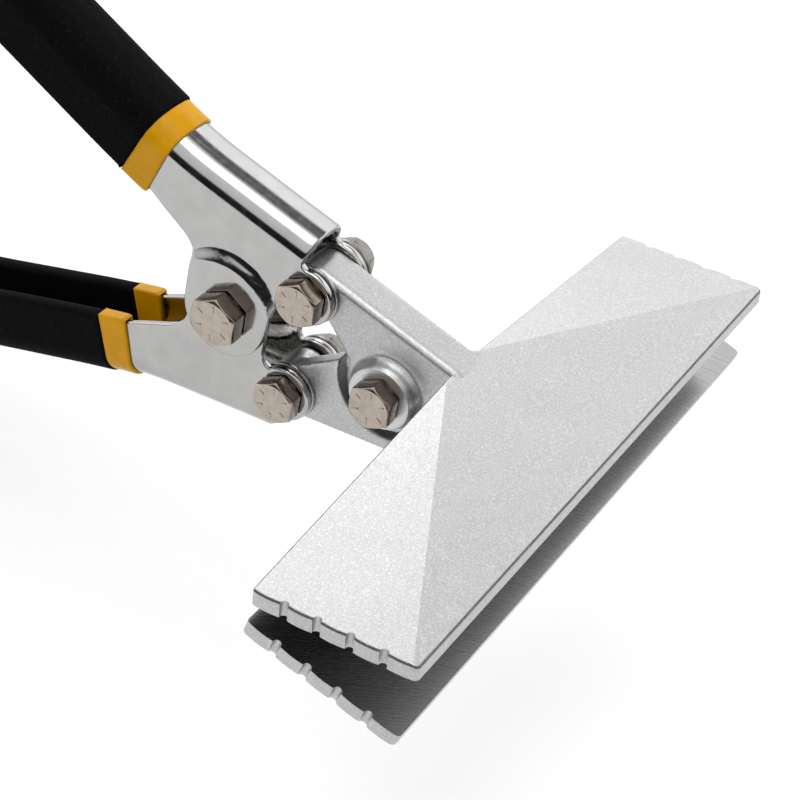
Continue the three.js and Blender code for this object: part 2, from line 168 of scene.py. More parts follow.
# ------------------------------------------------------------------ finishes
class Tree:
    """A node tree being written."""

    def __init__(self, owner: bpy.types.Material | bpy.types.World) -> None:
        """Starts on the tree of a material or a world."""
        owner.use_nodes = True
        self.tree = owner.node_tree

    def add(self, kind: str, **settings: object) -> bpy.types.Node:
        """Adds a node and sets its properties.

        Args:
            kind: The node's Blender type.
            **settings: Properties of the node.

        Returns:
            The new node.
        """
        node = self.tree.nodes.new(kind)
        for key, value in settings.items():
            setattr(node, key, value)
        return node

    def join(self, source: bpy.types.NodeSocket, target: bpy.types.NodeSocket) -> None:
        """Links one socket to another."""
        self.tree.links.new(source, target)

    def ramp(self, value: bpy.types.NodeSocket,
             stops: list[tuple[float, tuple[float, float, float]]]) -> bpy.types.NodeSocket:
        """Maps a value to colours.

        Args:
            value: Between 0 and 1.
            stops: Positions and linear colours.

        Returns:
            The colour.
        """
        node = self.add("ShaderNodeValToRGB")
        elements = node.color_ramp.elements
        while len(elements) < len(stops):
            elements.new(0.5)
        for element, (position, color) in zip(elements, stops):
            element.position = position
            element.color = (*color, 1.0)
        self.join(value, node.inputs["Fac"])
        return node.outputs["Color"]

    def span(self, value: bpy.types.NodeSocket, low: float, high: float,
             start: float = 0.3, end: float = 0.7) -> bpy.types.NodeSocket:
        """Stretches a value between two limits.

        Args:
            value: The value.
            low: Result at start.
            high: Result at end.
            start: Where the value starts to count. Nearly all of a noise lies between
                the defaults.
            end: Where it stops.

        Returns:
            The stretched value.
        """
        node = self.add("ShaderNodeMapRange")
        limits = {"From Min": start, "From Max": end, "To Min": low, "To Max": high}
        for socket, limit in limits.items():
            node.inputs[socket].default_value = limit
        self.join(value, node.inputs["Value"])
        return node.outputs["Result"]

    def blend(self, kind: str, first: bpy.types.NodeSocket, second: bpy.types.NodeSocket | None,
              share: bpy.types.NodeSocket | None = None) -> bpy.types.NodeSocket:
        """Blends two colours.

        Args:
            kind: The kind of blend.
            first: One colour.
            second: The other colour, or none for white.
            share: How much of the other, or none for all of it.

        Returns:
            The blended colour.
        """
        node = self.add("ShaderNodeMix", data_type="RGBA", blend_type=kind)
        node.inputs["Factor"].default_value = 1.0
        node.inputs["B"].default_value = (1, 1, 1, 1)
        for source, name in ((first, "A"), (second, "B"), (share, "Factor")):
            if source is not None:
                self.join(source, node.inputs[name])
        return node.outputs["Result"]


class Recipe(Tree):
    """One finish's nodes, sized in millimetres on Object coordinates."""

    def __init__(self, name: str, color: tuple[float, float, float], metallic: float,
                 roughness: float) -> None:
        """Starts a material with plain values on its shader.

        Args:
            name: The material's name.
            color: Base colour, linear.
            metallic: Metalness.
            roughness: Roughness.
        """
        self.material = bpy.data.materials.new(name)
        super().__init__(self.material)
        self.shader = self.tree.nodes["Principled BSDF"]
        self.shader.inputs["Base Color"].default_value = (*color, 1.0)
        self.shader.inputs["Metallic"].default_value = metallic
        self.shader.inputs["Roughness"].default_value = roughness
        self.place = self.add("ShaderNodeTexCoord").outputs["Object"]

    def noise(self, size: float, detail: float = 3.0) -> bpy.types.NodeSocket:
        """Adds a noise whose grains are about as large as asked.

        Args:
            size: Grain size.
            detail: Octaves.

        Returns:
            The noise's value.
        """
        node = self.add("ShaderNodeTexNoise")
        node.inputs["Scale"].default_value = 1.0 / (size * MM)
        node.inputs["Detail"].default_value = detail
        self.join(self.place, node.inputs["Vector"])
        return node.outputs["Fac"]

    def bump(self, height: bpy.types.NodeSocket, depth: float, strength: float = 1.0,
             under: bpy.types.NodeSocket | None = None) -> bpy.types.NodeSocket:
        """Adds a bump.

        Args:
            height: The height, 0 to 1.
            depth: How deep that is.
            strength: How strongly it shows.
            under: A normal to start from.

        Returns:
            The bumped normal.
        """
        node = self.add("ShaderNodeBump")
        node.inputs["Strength"].default_value = strength
        node.inputs["Distance"].default_value = depth * MM
        self.join(height, node.inputs["Height"])
        if under is not None:
            self.join(under, node.inputs["Normal"])
        return node.outputs["Normal"]

    def distance(self, centre: Vector, flat: tuple[float, float, float]) -> bpy.types.NodeSocket:
        """Measures how far a point is from a line.

        Args:
            centre: A point on the line, in metres.
            flat: Which of X, Y and Z count.

        Returns:
            The distance in metres.
        """
        offset = self.place
        for operation, operand in (("SUBTRACT", centre), ("MULTIPLY", flat)):
            node = self.add("ShaderNodeVectorMath", operation=operation)
            node.inputs[1].default_value = operand
            self.join(offset, node.inputs[0])
            offset = node.outputs[0]
        length = self.add("ShaderNodeVectorMath", operation="LENGTH")
        self.join(offset, length.inputs[0])
        return length.outputs["Value"]

    def lines(self, along: bpy.types.NodeSocket, pitch: float) -> bpy.types.NodeSocket:
        """Adds uneven fine lines across a distance.

        Args:
            along: Distance in metres.
            pitch: About how far apart the lines are.

        Returns:
            The lines' height.
        """
        node = self.add("ShaderNodeTexNoise", noise_dimensions="1D")
        node.inputs["Scale"].default_value = 1.0 / (pitch * MM)
        node.inputs["Detail"].default_value = 2.0
        self.join(along, node.inputs["W"])
        return node.outputs["Fac"]

    def finish(self, normal: bpy.types.NodeSocket | None = None,
               color: bpy.types.NodeSocket | None = None,
               roughness: bpy.types.NodeSocket | None = None) -> bpy.types.Material:
        """Links what varies over the surface.

        Args:
            normal: Bumped normal.
            color: Base colour.
            roughness: Roughness.

        Returns:
            The finished material.
        """
        for source, name in ((normal, "Normal"), (color, "Base Color"), (roughness, "Roughness")):
            if source is not None:
                self.join(source, self.shader.inputs[name])
        return self.material


def grey(value: float, warm: float = 0.0) -> tuple[float, float, float]:
    """Returns a linear grey, a little warmer or cooler."""
    return (value * (1 + warm), value, value * (1 - warm))


@dataclass(frozen=True)
class CastSkin:
    """Silvery fine sand-cast skin."""

    name: str = "cast_skin"
    light: float = 0.455
    dark: float = 0.415
    speck: float = 0.56
    grain: float = 0.5
    relief: float = 0.03

    def build(self) -> bpy.types.Material:
        """Returns the material."""
        recipe = Recipe(self.name, grey(self.light), 0.93, 0.4)
        recipe.shader.inputs["IOR"].default_value = 1.5
        fine = recipe.noise(self.grain, 2.0)
        cloud = recipe.noise(16.0, 2.0)
        speck = recipe.ramp(fine, [(0.32, grey(self.dark, -0.01)), (0.52, grey(self.light)),
                                   (0.66, grey(self.speck))])
        patch = recipe.ramp(cloud, [(0.3, grey(0.96)), (0.7, grey(1.0))])
        color = recipe.blend("MULTIPLY", speck, patch)
        wave = recipe.bump(recipe.noise(5.0, 2.0), 0.12, 0.35)
        normal = recipe.bump(fine, self.relief, 0.55, wave)
        rough = recipe.span(recipe.noise(1.3, 2.0), 0.33, 0.46)
        return recipe.finish(normal, color, rough)


@dataclass(frozen=True)
class GroundFace:
    """Jaw face ground flat, with the long arcs of a cup wheel."""

    arc_centre: tuple[float, float, float] = (0.26, -0.24, 0.0)

    def build(self) -> bpy.types.Material:
        """Returns the material."""
        recipe = Recipe("ground_face", grey(0.31), 1.0, 0.22)
        arcs = recipe.lines(recipe.distance(Vector(self.arc_centre), (1, 1, 0)), 0.4)
        color = recipe.ramp(arcs, [(0.3, grey(0.23)), (0.7, grey(0.38))])
        rough = recipe.span(arcs, 0.3, 0.18)
        return recipe.finish(recipe.bump(arcs, 0.012, 0.5), color, rough)


@dataclass(frozen=True)
class TurnedFace:
    """Boss face and pivot bore turned about the jaw pivot."""

    def build(self) -> bpy.types.Material:
        """Returns the material."""
        recipe = Recipe("turned_face", grey(0.55), 1.0, 0.3)
        rings = recipe.lines(recipe.distance(PIVOT, (1, 0, 1)), 0.35)
        color = recipe.ramp(rings, [(0.3, grey(0.46)), (0.7, grey(0.62))])
        return recipe.finish(recipe.bump(rings, 0.03, 0.5), color, recipe.span(rings, 0.4, 0.25))


@dataclass(frozen=True)
class ChromePlate:
    """Bright plate over pressed steel, with the faint unevenness of polishing."""

    light: float = 0.41
    warm: float = 0.006

    def build(self) -> bpy.types.Material:
        """Returns the material."""
        recipe = Recipe("chrome_plate", grey(self.light, self.warm), 1.0, 0.1)
        cloud = recipe.noise(7.0, 3.0)
        color = recipe.ramp(cloud, [(0.3, grey(self.light * 0.93, 1.6 * self.warm)),
                                    (0.7, grey(self.light * 1.04, self.warm))])
        swell = recipe.bump(recipe.noise(9.0, 1.0), 0.05, 0.3)
        normal = recipe.bump(recipe.noise(1.1, 2.0), 0.004, 0.4, swell)
        rough = recipe.span(recipe.noise(2.5, 4.0), 0.07, 0.17)
        return recipe.finish(normal, color, rough)


@dataclass(frozen=True)
class PlatedSteel:
    """Plated fasteners, a little cloudy, with fine tool marks."""

    name: str
    color: tuple[float, float, float]
    roughness: float

    def build(self) -> bpy.types.Material:
        """Returns the material."""
        recipe = Recipe(self.name, self.color, 1.0, self.roughness)
        cloud = recipe.noise(2.2, 4.0)
        dark = tuple(0.84 * c for c in self.color)
        color = recipe.ramp(cloud, [(0.35, dark), (0.65, self.color)])
        rough = recipe.span(recipe.noise(0.8, 3.0), self.roughness * 0.7, self.roughness * 1.4)
        normal = recipe.bump(recipe.noise(0.6, 3.0), 0.008, 0.5)
        return recipe.finish(normal, color, rough)


@dataclass(frozen=True)
class DippedFoam:
    """Black fine-grained grip skin."""

    def build(self) -> bpy.types.Material:
        """Returns the material."""
        recipe = Recipe("dipped_foam", grey(0.004), 0.0, 0.72)
        recipe.shader.inputs["Specular IOR Level"].default_value = 0.045
        grain = recipe.noise(0.55, 3.0)
        speck = recipe.ramp(recipe.noise(0.8, 2.0),
                            [(0.35, grey(0.0015)), (0.62, grey(0.0025)), (0.76, grey(0.010, 0.02))])
        dents = recipe.bump(recipe.noise(3.5, 2.0), 0.12, 0.3)
        return recipe.finish(recipe.bump(grain, 0.09, 0.7, dents), speck,
                             recipe.span(grain, 0.62, 0.85))


@dataclass(frozen=True)
class YellowDip:
    """Glossy yellow dip with a slightly uneven surface."""

    def build(self) -> bpy.types.Material:
        """Returns the material."""
        recipe = Recipe("yellow_dip", (0.57, 0.275, 0.002), 0.0, 0.26)
        recipe.shader.inputs["Specular IOR Level"].default_value = 0.12
        recipe.shader.inputs["Coat Weight"].default_value = 0.02
        recipe.shader.inputs["Coat Roughness"].default_value = 0.18
        cloud = recipe.noise(6.0, 2.0)
        color = recipe.ramp(cloud, [(0.3, (0.545, 0.26, 0.001)), (0.7, (0.61, 0.295, 0.002))])
        wave = recipe.bump(recipe.noise(4.0, 2.0), 0.12, 0.4)
        return recipe.finish(recipe.bump(recipe.noise(0.7, 2.0), 0.012, 0.5, wave), color,
                             recipe.span(cloud, 0.22, 0.36))


@dataclass(frozen=True)
class NylonRing:
    """The lock nuts' milky nylon insert."""

    def build(self) -> bpy.types.Material:
        """Returns the material."""
        recipe = Recipe("nylon_ring", (0.62, 0.63, 0.60), 0.0, 0.4)
        recipe.shader.inputs["Subsurface Weight"].default_value = 0.2
        recipe.shader.inputs["Subsurface Radius"].default_value = (0.001, 0.001, 0.001)
        cloud = recipe.ramp(recipe.noise(0.9, 2.0),
                            [(0.3, (0.5, 0.52, 0.5)), (0.7, (0.66, 0.67, 0.64))])
        return recipe.finish(recipe.bump(recipe.noise(0.4), 0.02, 0.4), cloud)


class Finishes:
    """Every finish on the tool, made once."""

    def __init__(self) -> None:
        """Makes the finishes."""
        self.cast = CastSkin().build()
        # A dark copy of the cast skin for the rounding along the plate's top edge: painted shade
        # standing for the dark reflection that the rounded edge shows.
        self.rim = CastSkin("painted_shade_edge", 0.13, 0.10, 0.2).build()
        self.ground = GroundFace().build()
        self.turned = TurnedFace().build()
        self.chrome = ChromePlate().build()
        self.nickel = PlatedSteel("warm_nickel", (0.42, 0.365, 0.315), 0.2).build()
        # A darker copy of the nickel for the bolt heads' six flats: painted shade standing for the dark
        # reflections on them.
        self.flats = PlatedSteel("painted_shade_flats", (0.21, 0.17, 0.14), 0.2).build()
        self.nut = PlatedSteel("dull_zinc", (0.24, 0.225, 0.21), 0.26).build()
        self.zinc = PlatedSteel("zinc_plate", (0.40, 0.395, 0.38), 0.22).build()
        self.steel = PlatedSteel("turned_steel", (0.34, 0.33, 0.32), 0.3).build()
        self.foam = DippedFoam().build()
        self.yellow = YellowDip().build()
        self.nylon = NylonRing().build()


# ------------------------------------------------------------------ mesh work
def new_piece(name: str, points: Sequence, faces: list[Sequence[int]],
              edges: Sequence[tuple[int, int]] = ()) -> bpy.types.Object:
    """Makes a mesh object at the origin.

    Args:
        name: The piece's name.
        points: Its vertices.
        faces: Its faces, as lists of vertex numbers.
        edges: Its edges, where it has no faces yet.

    Returns:
        The object, in the scene.
    """
    mesh = bpy.data.meshes.new(name)
    mesh.from_pydata([tuple(p) for p in points], edges, faces)
    mesh.validate()
    piece = bpy.data.objects.new(name, mesh)
    bpy.context.scene.collection.objects.link(piece)
    return piece


def apply_stack(piece: bpy.types.Object) -> None:
    """Replaces a piece's mesh with what its modifiers make of it."""
    bpy.context.view_layer.update()
    graph = bpy.context.evaluated_depsgraph_get()
    mesh = bpy.data.meshes.new_from_object(piece.evaluated_get(graph), depsgraph=graph)
    old = piece.data
    piece.modifiers.clear()
    piece.data = mesh
    bpy.data.meshes.remove(old)


def discard(piece: bpy.types.Object) -> None:
    """Removes a helper and its mesh."""
    mesh = piece.data
    bpy.data.objects.remove(piece)
    bpy.data.meshes.remove(mesh)


class Cut(Enum):
    """What a boolean does with its helper."""

    AWAY = "DIFFERENCE"
    JOIN = "UNION"
    KEEP = "INTERSECT"


def combine(piece: bpy.types.Object, helper: bpy.types.Object, how: Cut) -> bpy.types.Object:
    """Cuts or joins a piece with a helper, which is used up.

    The quicker solver goes first, and the exact one where that leaves nothing or no change.

    Args:
        piece: The piece that stays.
        helper: The helper.
        how: What is done with it.

    Returns:
        The piece.
    """
    before = len(piece.data.polygons)
    for solver in ("MANIFOLD", "EXACT"):
        boolean = piece.modifiers.new("combine", "BOOLEAN")
        boolean.operation = how.value
        boolean.object = helper
        boolean.solver = solver
        source = piece.data.copy()
        apply_stack(piece)
        if len(piece.data.polygons) not in (0, before):
            bpy.data.meshes.remove(source)
            break
        piece.data = source
    discard(helper)
    return piece


def bevel(piece: bpy.types.Object, width: float, angle: float = 30.0, segments: int = 3,
          clamp: bool = True) -> None:
    """Adds a bevel to the stack of a piece still in millimetres.

    Args:
        piece: The piece.
        width: Bevel width.
        angle: Only edges sharper than this are rounded.
        segments: Faces across the bevel.
        clamp: True if short edges may make it narrower.
    """
    rounding = piece.modifiers.new("round_edges", "BEVEL")
    rounding.width = width
    rounding.segments = segments
    rounding.limit_method = "ANGLE"
    rounding.angle_limit = math.radians(angle)
    rounding.use_clamp_overlap = clamp


def turned(name: str, profile: list[tuple[float, float]], steps: int = 64,
           rounding: float = 0.0) -> bpy.types.Object:
    """Turns a profile about Z.

    Args:
        name: The piece's name.
        profile: Radii and heights from the top down: a ring's closed outline, or an open
            one that starts and ends on the axis.
        steps: Faces round the piece.
        rounding: Bevel on its edges, or none.

    Returns:
        The turned piece in millimetres, at its own origin.
    """
    count = len(profile)
    is_ring = profile[0][0] > 0 and profile[-1][0] > 0
    edges = [(i, (i + 1) % count) for i in range(count if is_ring else count - 1)]
    piece = new_piece(name, [(r, 0.0, z) for r, z in profile], [], edges)
    screw = piece.modifiers.new("turn", "SCREW")
    screw.axis = "Z"
    screw.steps = steps
    screw.render_steps = steps
    screw.use_merge_vertices = True
    screw.merge_threshold = 0.0001
    screw.use_normal_calculate = True
    if rounding:
        bevel(piece, rounding, 40.0, 2)
    apply_stack(piece)
    recalculate(piece)
    return piece


def recalculate(piece: bpy.types.Object) -> None:
    """Merges a closed piece's doubles and turns its faces outwards."""
    work = bmesh.new()
    work.from_mesh(piece.data)
    bmesh.ops.remove_doubles(work, verts=work.verts, dist=1e-5)
    bmesh.ops.recalc_face_normals(work, faces=work.faces)
    if work.calc_volume(signed=True) < 0:
        bmesh.ops.reverse_faces(work, faces=work.faces)
    work.to_mesh(piece.data)
    work.free()


def arc(x: float, y: float, radius: float, start: float, end: float,
        step: float = 1.0) -> list[tuple[float, float]]:
    """Lists the points of an arc.

    Args:
        x: Centre.
        y: Centre.
        radius: Radius.
        start: First angle in radians.
        end: Last angle.
        step: Longest chord.

    Returns:
        The points, ends included.
    """
    count = max(3, math.ceil(abs(end - start) * radius / step))
    angles = [start + (end - start) * i / count for i in range(count + 1)]
    return [(x + radius * math.cos(a), y + radius * math.sin(a)) for a in angles]


def quad_curve(a: tuple, b: tuple, c: tuple, count: int = 8) -> list[tuple[float, float]]:
    """Lists the points of a curve from a to c that leans towards b."""
    steps = [i / count for i in range(count + 1)]
    return [tuple((1 - t) ** 2 * p + 2 * t * (1 - t) * q + t * t * r for p, q, r in zip(a, b, c))
            for t in steps]


def prism(name: str, outline: list[tuple[float, float]], low: float, high: float,
          upright: bool = False) -> bpy.types.Object:
    """Makes a straight-sided body from an outline.

    Args:
        name: The piece's name.
        outline: Side view in X and Z, or plan in X and Y.
        low: Lowest Y, or Z of a plan.
        high: Highest.
        upright: True for a plan.

    Returns:
        The body, in millimetres.
    """
    count = len(outline)
    if upright:
        points = [(x, y, h) for h in (low, high) for x, y in outline]
    else:
        points = [(x, h, z) for h in (low, high) for x, z in outline]
    faces = [list(range(count)), list(range(count, 2 * count))]
    faces += [[i, (i + 1) % count, count + (i + 1) % count, count + i] for i in range(count)]
    piece = new_piece(name, points, faces)
    recalculate(piece)
    return piece


def rod(name: str, radius: float, low: float, high: float, x: float, z: float,
        steps: int = 64) -> bpy.types.Object:
    """Makes a plain round helper along Y.

    Args:
        name: The helper's name.
        radius: Its radius.
        low: Its near end.
        high: Its far end.
        x: Its axis, forward of the jaw pivot.
        z: Its axis, above the jaw pivot.
        steps: Faces round it.

    Returns:
        The helper, in millimetres.
    """
    outline = [(x + radius * math.cos(2 * math.pi * i / steps),
                z + radius * math.sin(2 * math.pi * i / steps)) for i in range(steps)]
    return prism(name, outline, low, high)


def set_down(piece: bpy.types.Object, place: Matrix, sharp: float = 38.0) -> bpy.types.Object:
    """Puts a finished piece's mesh at its place in the frame.

    Args:
        piece: The piece, in millimetres about its own origin.
        place: From those millimetres to the frame's metres.
        sharp: Edges sharper than this many degrees stay crisp.

    Returns:
        The piece.
    """
    piece.data.transform(place)
    piece.data.shade_smooth()
    piece.data.set_sharp_from_angle(angle=math.radians(sharp))
    piece.data.update()
    return piece


def install(piece: bpy.types.Object, body: str, slot: Slot, *nodes: str) -> None:
    """Hides the frame nodes a piece stands for and hangs it on the body that carries it.

    Args:
        piece: The piece, in place.
        body: The body that carries it.
        slot: The material slot that its finish comes from; not used.
        *nodes: The nodes it stands for.
    """
    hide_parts(*nodes)
    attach(piece, body)
    log.info("%s: %d faces, rides %s", piece.name, len(piece.data.polygons), body)


# ------------------------------------------------------------------ jaws
@dataclass
class Jaw:
    """One cast jaw: a wide faceted plate, its arm, and a half-lap lug with a boss."""

    half: Half
    finishes: Finishes
    width: float = 203.2
    depth: float = 47.6
    back: float = 19.05
    edge_thick: float = 4.3
    back_thick: float = 4.5
    root_thick: float = 13.8
    root_half: float = 8.0
    face: float = 0.2             # ground face above the plane where the jaws meet
    ground_back: float = 15.2     # rear end of the ground face
    corner: float = 1.5
    notches: int = 4
    notch: float = 1.2
    bulge: float = 0.9            # bow of the ends between notches
    front_bulge: float = 0.6
    arm_end: float = 7.9
    arm_slope: float = 17.0
    arm_round: float = 2.1
    lug: float = 13.4
    pocket: float = 16.4
    boss: float = 10.3
    boss_flare: float = 1.6
    bore: float = SMALL.shank + BUSH_WALL + 2 * GAP
    gusset_reach: float = 5.5
    allowance: float = 1.2        # metal that machining takes off
    voxel: float = 0.6
    rim: float = 0.85             # rounding along the plate's edges
    ridge_long: float = 0.0025    # shorter edges aren't ridges, in metres
    ridge_low: float = 3.0        # flattest and sharpest ridge, in degrees
    ridge_high: float = 18.0

    def __post_init__(self) -> None:
        """Finds the link pin's place with the jaw closed."""
        x, z = LINK
        self.link = (x * math.cos(OPEN) + z * math.sin(OPEN), z * math.cos(OPEN) - x * math.sin(OPEN))

    def notch_places(self) -> list[float]:
        """Returns how far forward each depth mark is."""
        pitch = self.depth / (self.notches + 1)
        return [self.back + i * pitch for i in range(1, self.notches + 1)]

    def plate_outline(self) -> list[tuple[float, float]]:
        """Returns the plate's plan: straight edges, scalloped ends, rounded corners."""
        front = self.back + self.depth
        half = self.width / 2
        near = []
        marks = [self.back, *self.notch_places()]
        for x, beyond in zip(marks, marks[1:]):
            near += quad_curve((x, -half), ((x + beyond) / 2, -half - self.bulge), (beyond, -half))[:-1]
        start, last = marks[-1], front - self.corner
        near += quad_curve((start, -half), ((start + last) / 2, -half - self.front_bulge),
                           (last, -half), 4)[:-1]
        near += arc(last, -half + self.corner, self.corner, -math.pi / 2, 0.0, 0.6)
        return near + [(x, -y) for x, y in reversed(near)]

    def facets(self) -> bpy.types.Object:
        """Returns the faceted body that the plan is cut from."""
        front = self.back + self.depth
        half = self.width / 2 + 3
        low = self.face - self.allowance
        back, edge, root = (self.face + t for t in (self.back_thick, self.edge_thick, self.root_thick))
        points = [
            (self.back, -half, low), (self.back, half, low), (front, half, low), (front, -half, low),
            (self.back, -half, back), (self.back, half, back), (front, half, edge),
            (front, -half, edge), (self.back, -self.root_half, root), (self.back, self.root_half, root),
        ]
        faces = [(0, 1, 2, 3), (3, 2, 6, 7), (0, 3, 7, 4), (2, 1, 5, 6), (7, 6, 9, 8), (4, 7, 8),
                 (5, 9, 6), (0, 4, 8, 9, 5, 1)]
        body = new_piece("facets", points, faces)
        recalculate(body)
        return body

    def plate(self) -> bpy.types.Object:
        """Returns the plate with its edges rounded over, before its notches."""
        plate = prism("plate", self.plate_outline(), -2 * self.allowance, 2 * self.root_thick, True)
        combine(plate, self.facets(), Cut.KEEP)
        bevel(plate, self.rim, 28.0, 4, False)
        apply_stack(plate)
        return plate

    def cut_notches(self, body: bpy.types.Object) -> None:
        """Cuts the half-round depth marks across both ends of the plate."""
        for x in self.notch_places():
            for y in (-self.width / 2, self.width / 2):
                ring = arc(x, y, self.notch, 0.0, 2 * math.pi, 0.25)[:-1]
                combine(body, prism("notch", ring, -5, 20, True), Cut.AWAY)

    def side_outline(self, lug: bool) -> list[tuple[float, float]]:
        """Lists an arm half's side view.

        Args:
            lug: True for the half with the lug, False for the half with the hollow.

        Returns:
            The outline in X and Z.
        """
        # The nose is the arm's fillet into the plate, and the tail ends in lug or hollow.
        x, z = self.link
        lean = math.pi / 2 - math.radians(self.arm_slope)
        root = self.face + self.root_thick
        nose = [(28.0, 1.5), (28.0, root - 3.6), (25.0, root - 1.9), (22.0, root - 0.5),
                (self.back + 0.6, root + 0.8)]
        if lug:
            tail = arc(x, z, self.arm_end, lean, math.pi * 1.72) + [(-13.2, 5.4)]
            tail += arc(0, 0, self.lug, math.pi, 2 * math.pi)
        else:
            tail = arc(x, z, self.arm_end, lean, math.pi * 1.42) + [(-self.pocket - 0.5, 1.6)]
            tail += arc(0, 0, self.pocket, math.pi - 0.03, 0.012)
        return nose + tail + [(self.back + 1, self.face), (self.back + 1, 1.5)]

    def arm_half_body(self, lug: bool) -> bpy.types.Object:
        """Makes half of the arm, its top edge well rounded on the outside.

        Args:
            lug: True for the half with the lug.

        Returns:
            The half.
        """
        low, high = (-ARM_HALF, -GAP) if lug else (GAP, ARM_HALF)
        outside = low if lug else high
        top = min(self.link[1] - 4, self.root_thick - 3.5)
        body = prism("arm_half", self.side_outline(lug), low, high)
        weights = body.data.attributes.new("bevel_weight_edge", "FLOAT", "EDGE")
        vertices = body.data.vertices
        for edge in body.data.edges:
            a, b = (vertices[i].co for i in edge.vertices)
            if min(a.z, b.z) > top and max(abs(a.y - outside), abs(b.y - outside)) < 0.01:
                weights.data[edge.index].value = 1.0
        rounding = body.modifiers.new("round_top", "BEVEL")
        rounding.width = self.arm_round
        rounding.segments = 5
        rounding.limit_method = "WEIGHT"
        apply_stack(body)
        return body

    def arm(self) -> bpy.types.Object:
        """Returns the arm's two halves, joined by a web where they overlap, with the boss."""
        arm = self.arm_half_body(True)
        combine(arm, self.arm_half_body(False), Cut.JOIN)
        web = prism("web", self.side_outline(True), -2.0, 2.0)
        combine(web, prism("web_room", self.side_outline(False), -3.0, 3.0), Cut.KEEP)
        combine(arm, web, Cut.JOIN)
        rim, raw_face, foot = 1.0, BOSS_FACE + self.allowance / 2, self.boss + self.boss_flare
        profile = [(0.0, raw_face), (self.boss - rim, raw_face), (self.boss, BOSS_FACE - rim),
                   (self.boss + 0.1, ARM_HALF + self.boss_flare), (foot, ARM_HALF - 0.2), (foot, 1.0),
                   (0.0, 1.0)]
        boss = turned("boss", profile)
        boss.data.transform(Matrix.Rotation(math.pi / 2, 4, "X"))
        return combine(arm, boss, Cut.JOIN)

    def gusset(self) -> bpy.types.Object:
        """Returns the hollow fillet between the arm's far flank and the plate's back edge."""
        start, edge = self.back - self.gusset_reach, self.back + 1.0
        outline = quad_curve((start, ARM_HALF), (self.back - 0.2, ARM_HALF),
                             (edge, ARM_HALF + self.gusset_reach)) + [(edge, 0.0), (start, 0.0)]
        body = prism("gusset", outline, self.face + 4.0, self.root_thick + 0.4, True)
        return combine(body, rod("room", self.pocket, -20, 20, 0, 0), Cut.AWAY)

    def casting(self) -> bpy.types.Object:
        """Returns the raw casting: the arm with its joins softened, and the crisper plate."""
        body = combine(self.arm(), self.gusset(), Cut.JOIN)
        remesh = body.modifiers.new("cast_skin", "REMESH")
        remesh.mode = "VOXEL"
        remesh.voxel_size = self.voxel
        soften = body.modifiers.new("soften", "SMOOTH")
        soften.factor = 0.5
        soften.iterations = 5
        apply_stack(body)
        return combine(self.plate(), body, Cut.JOIN)

    def machine(self, body: bpy.types.Object) -> None:
        """Cuts the notches, the ground face, the boss face, the half lap and the bores."""
        self.cut_notches(body)
        back, front, half = self.ground_back, self.back + self.depth + 10, self.width
        under = [(back, -half), (front, -half), (front, half), (back, half)]
        combine(body, prism("ground", under, -30, self.face, True), Cut.AWAY)
        combine(body, rod("faced", self.boss + 3, -30, -BOSS_FACE, 0, 0), Cut.AWAY)
        combine(body, rod("lap", self.pocket, -GAP, 30, 0, 0, 128), Cut.AWAY)
        combine(body, rod("pivot_bore", self.bore, -40, 40, 0, 0), Cut.AWAY)
        combine(body, rod("link_bore", self.bore, -40, 40, *self.link), Cut.AWAY)

    def dress(self, body: bpy.types.Object) -> None:
        """Gives the skin and each machined face its finish."""
        look = self.finishes
        for material in (look.cast, look.ground, look.turned, look.rim):
            body.data.materials.append(material)
        for face in body.data.polygons:
            middle, normal = face.center, face.normal
            is_ground = normal.z < -0.99 and abs(middle.z - self.face) < 0.02
            is_faced = normal.y < -0.99 and abs(middle.y + BOSS_FACE) < 0.02
            if is_ground and middle.x > self.ground_back:
                face.material_index = 1
            elif is_faced or math.hypot(middle.x, middle.z) < self.bore + 0.05:
                face.material_index = 2
            else:
                # Faces of the top edge's rounding get the dark copy of the skin, painted shade for the
                # dark reflection there.
                face.material_index = 3 if self.on_rim(middle, normal) else 0

    def on_rim(self, middle: Vector, normal: Vector) -> bool:
        """Tells whether a face belongs to the rounding along the plate's top edge, which gets painted
        shade.

        Args:
            middle: The face's middle.
            normal: The way it faces.

        Returns:
            True if it does.
        """
        near_end = abs(middle.y) > self.width / 2 - self.rim
        near_front = middle.x > self.back + self.depth - self.rim
        near_back = abs(middle.x - self.back) < self.rim and abs(middle.y) > 2 * ARM_HALF
        return (near_end or near_front or near_back) and 0.4 < normal.z < 0.9

    def crease(self, body: bpy.types.Object) -> None:
        """Keeps the shallow ridges between the facets crisp and evens out the shading."""
        work = bmesh.new()
        work.from_mesh(body.data)
        for edge in work.edges:
            turn = math.degrees(edge.calc_face_angle(0.0))
            if edge.calc_length() > self.ridge_long and self.ridge_low < turn < self.ridge_high:
                edge.smooth = False
        work.to_mesh(body.data)
        work.free()
        shading = body.modifiers.new("even_shading", "WEIGHTED_NORMAL")
        shading.keep_sharp = True
        apply_stack(body)

    def build(self) -> None:
        """Makes, machines, dresses and installs the jaw."""
        body = self.casting()
        body.name = f"{self.half.value}_jaw_casting"
        self.machine(body)
        body.data.materials.clear()
        self.dress(body)
        set_down(body, self.half.jaw_place(), 32.0)
        self.crease(body)
        install(body, self.half.body("jaw"), Slot.CAST, f"{self.half.value}_jaw")


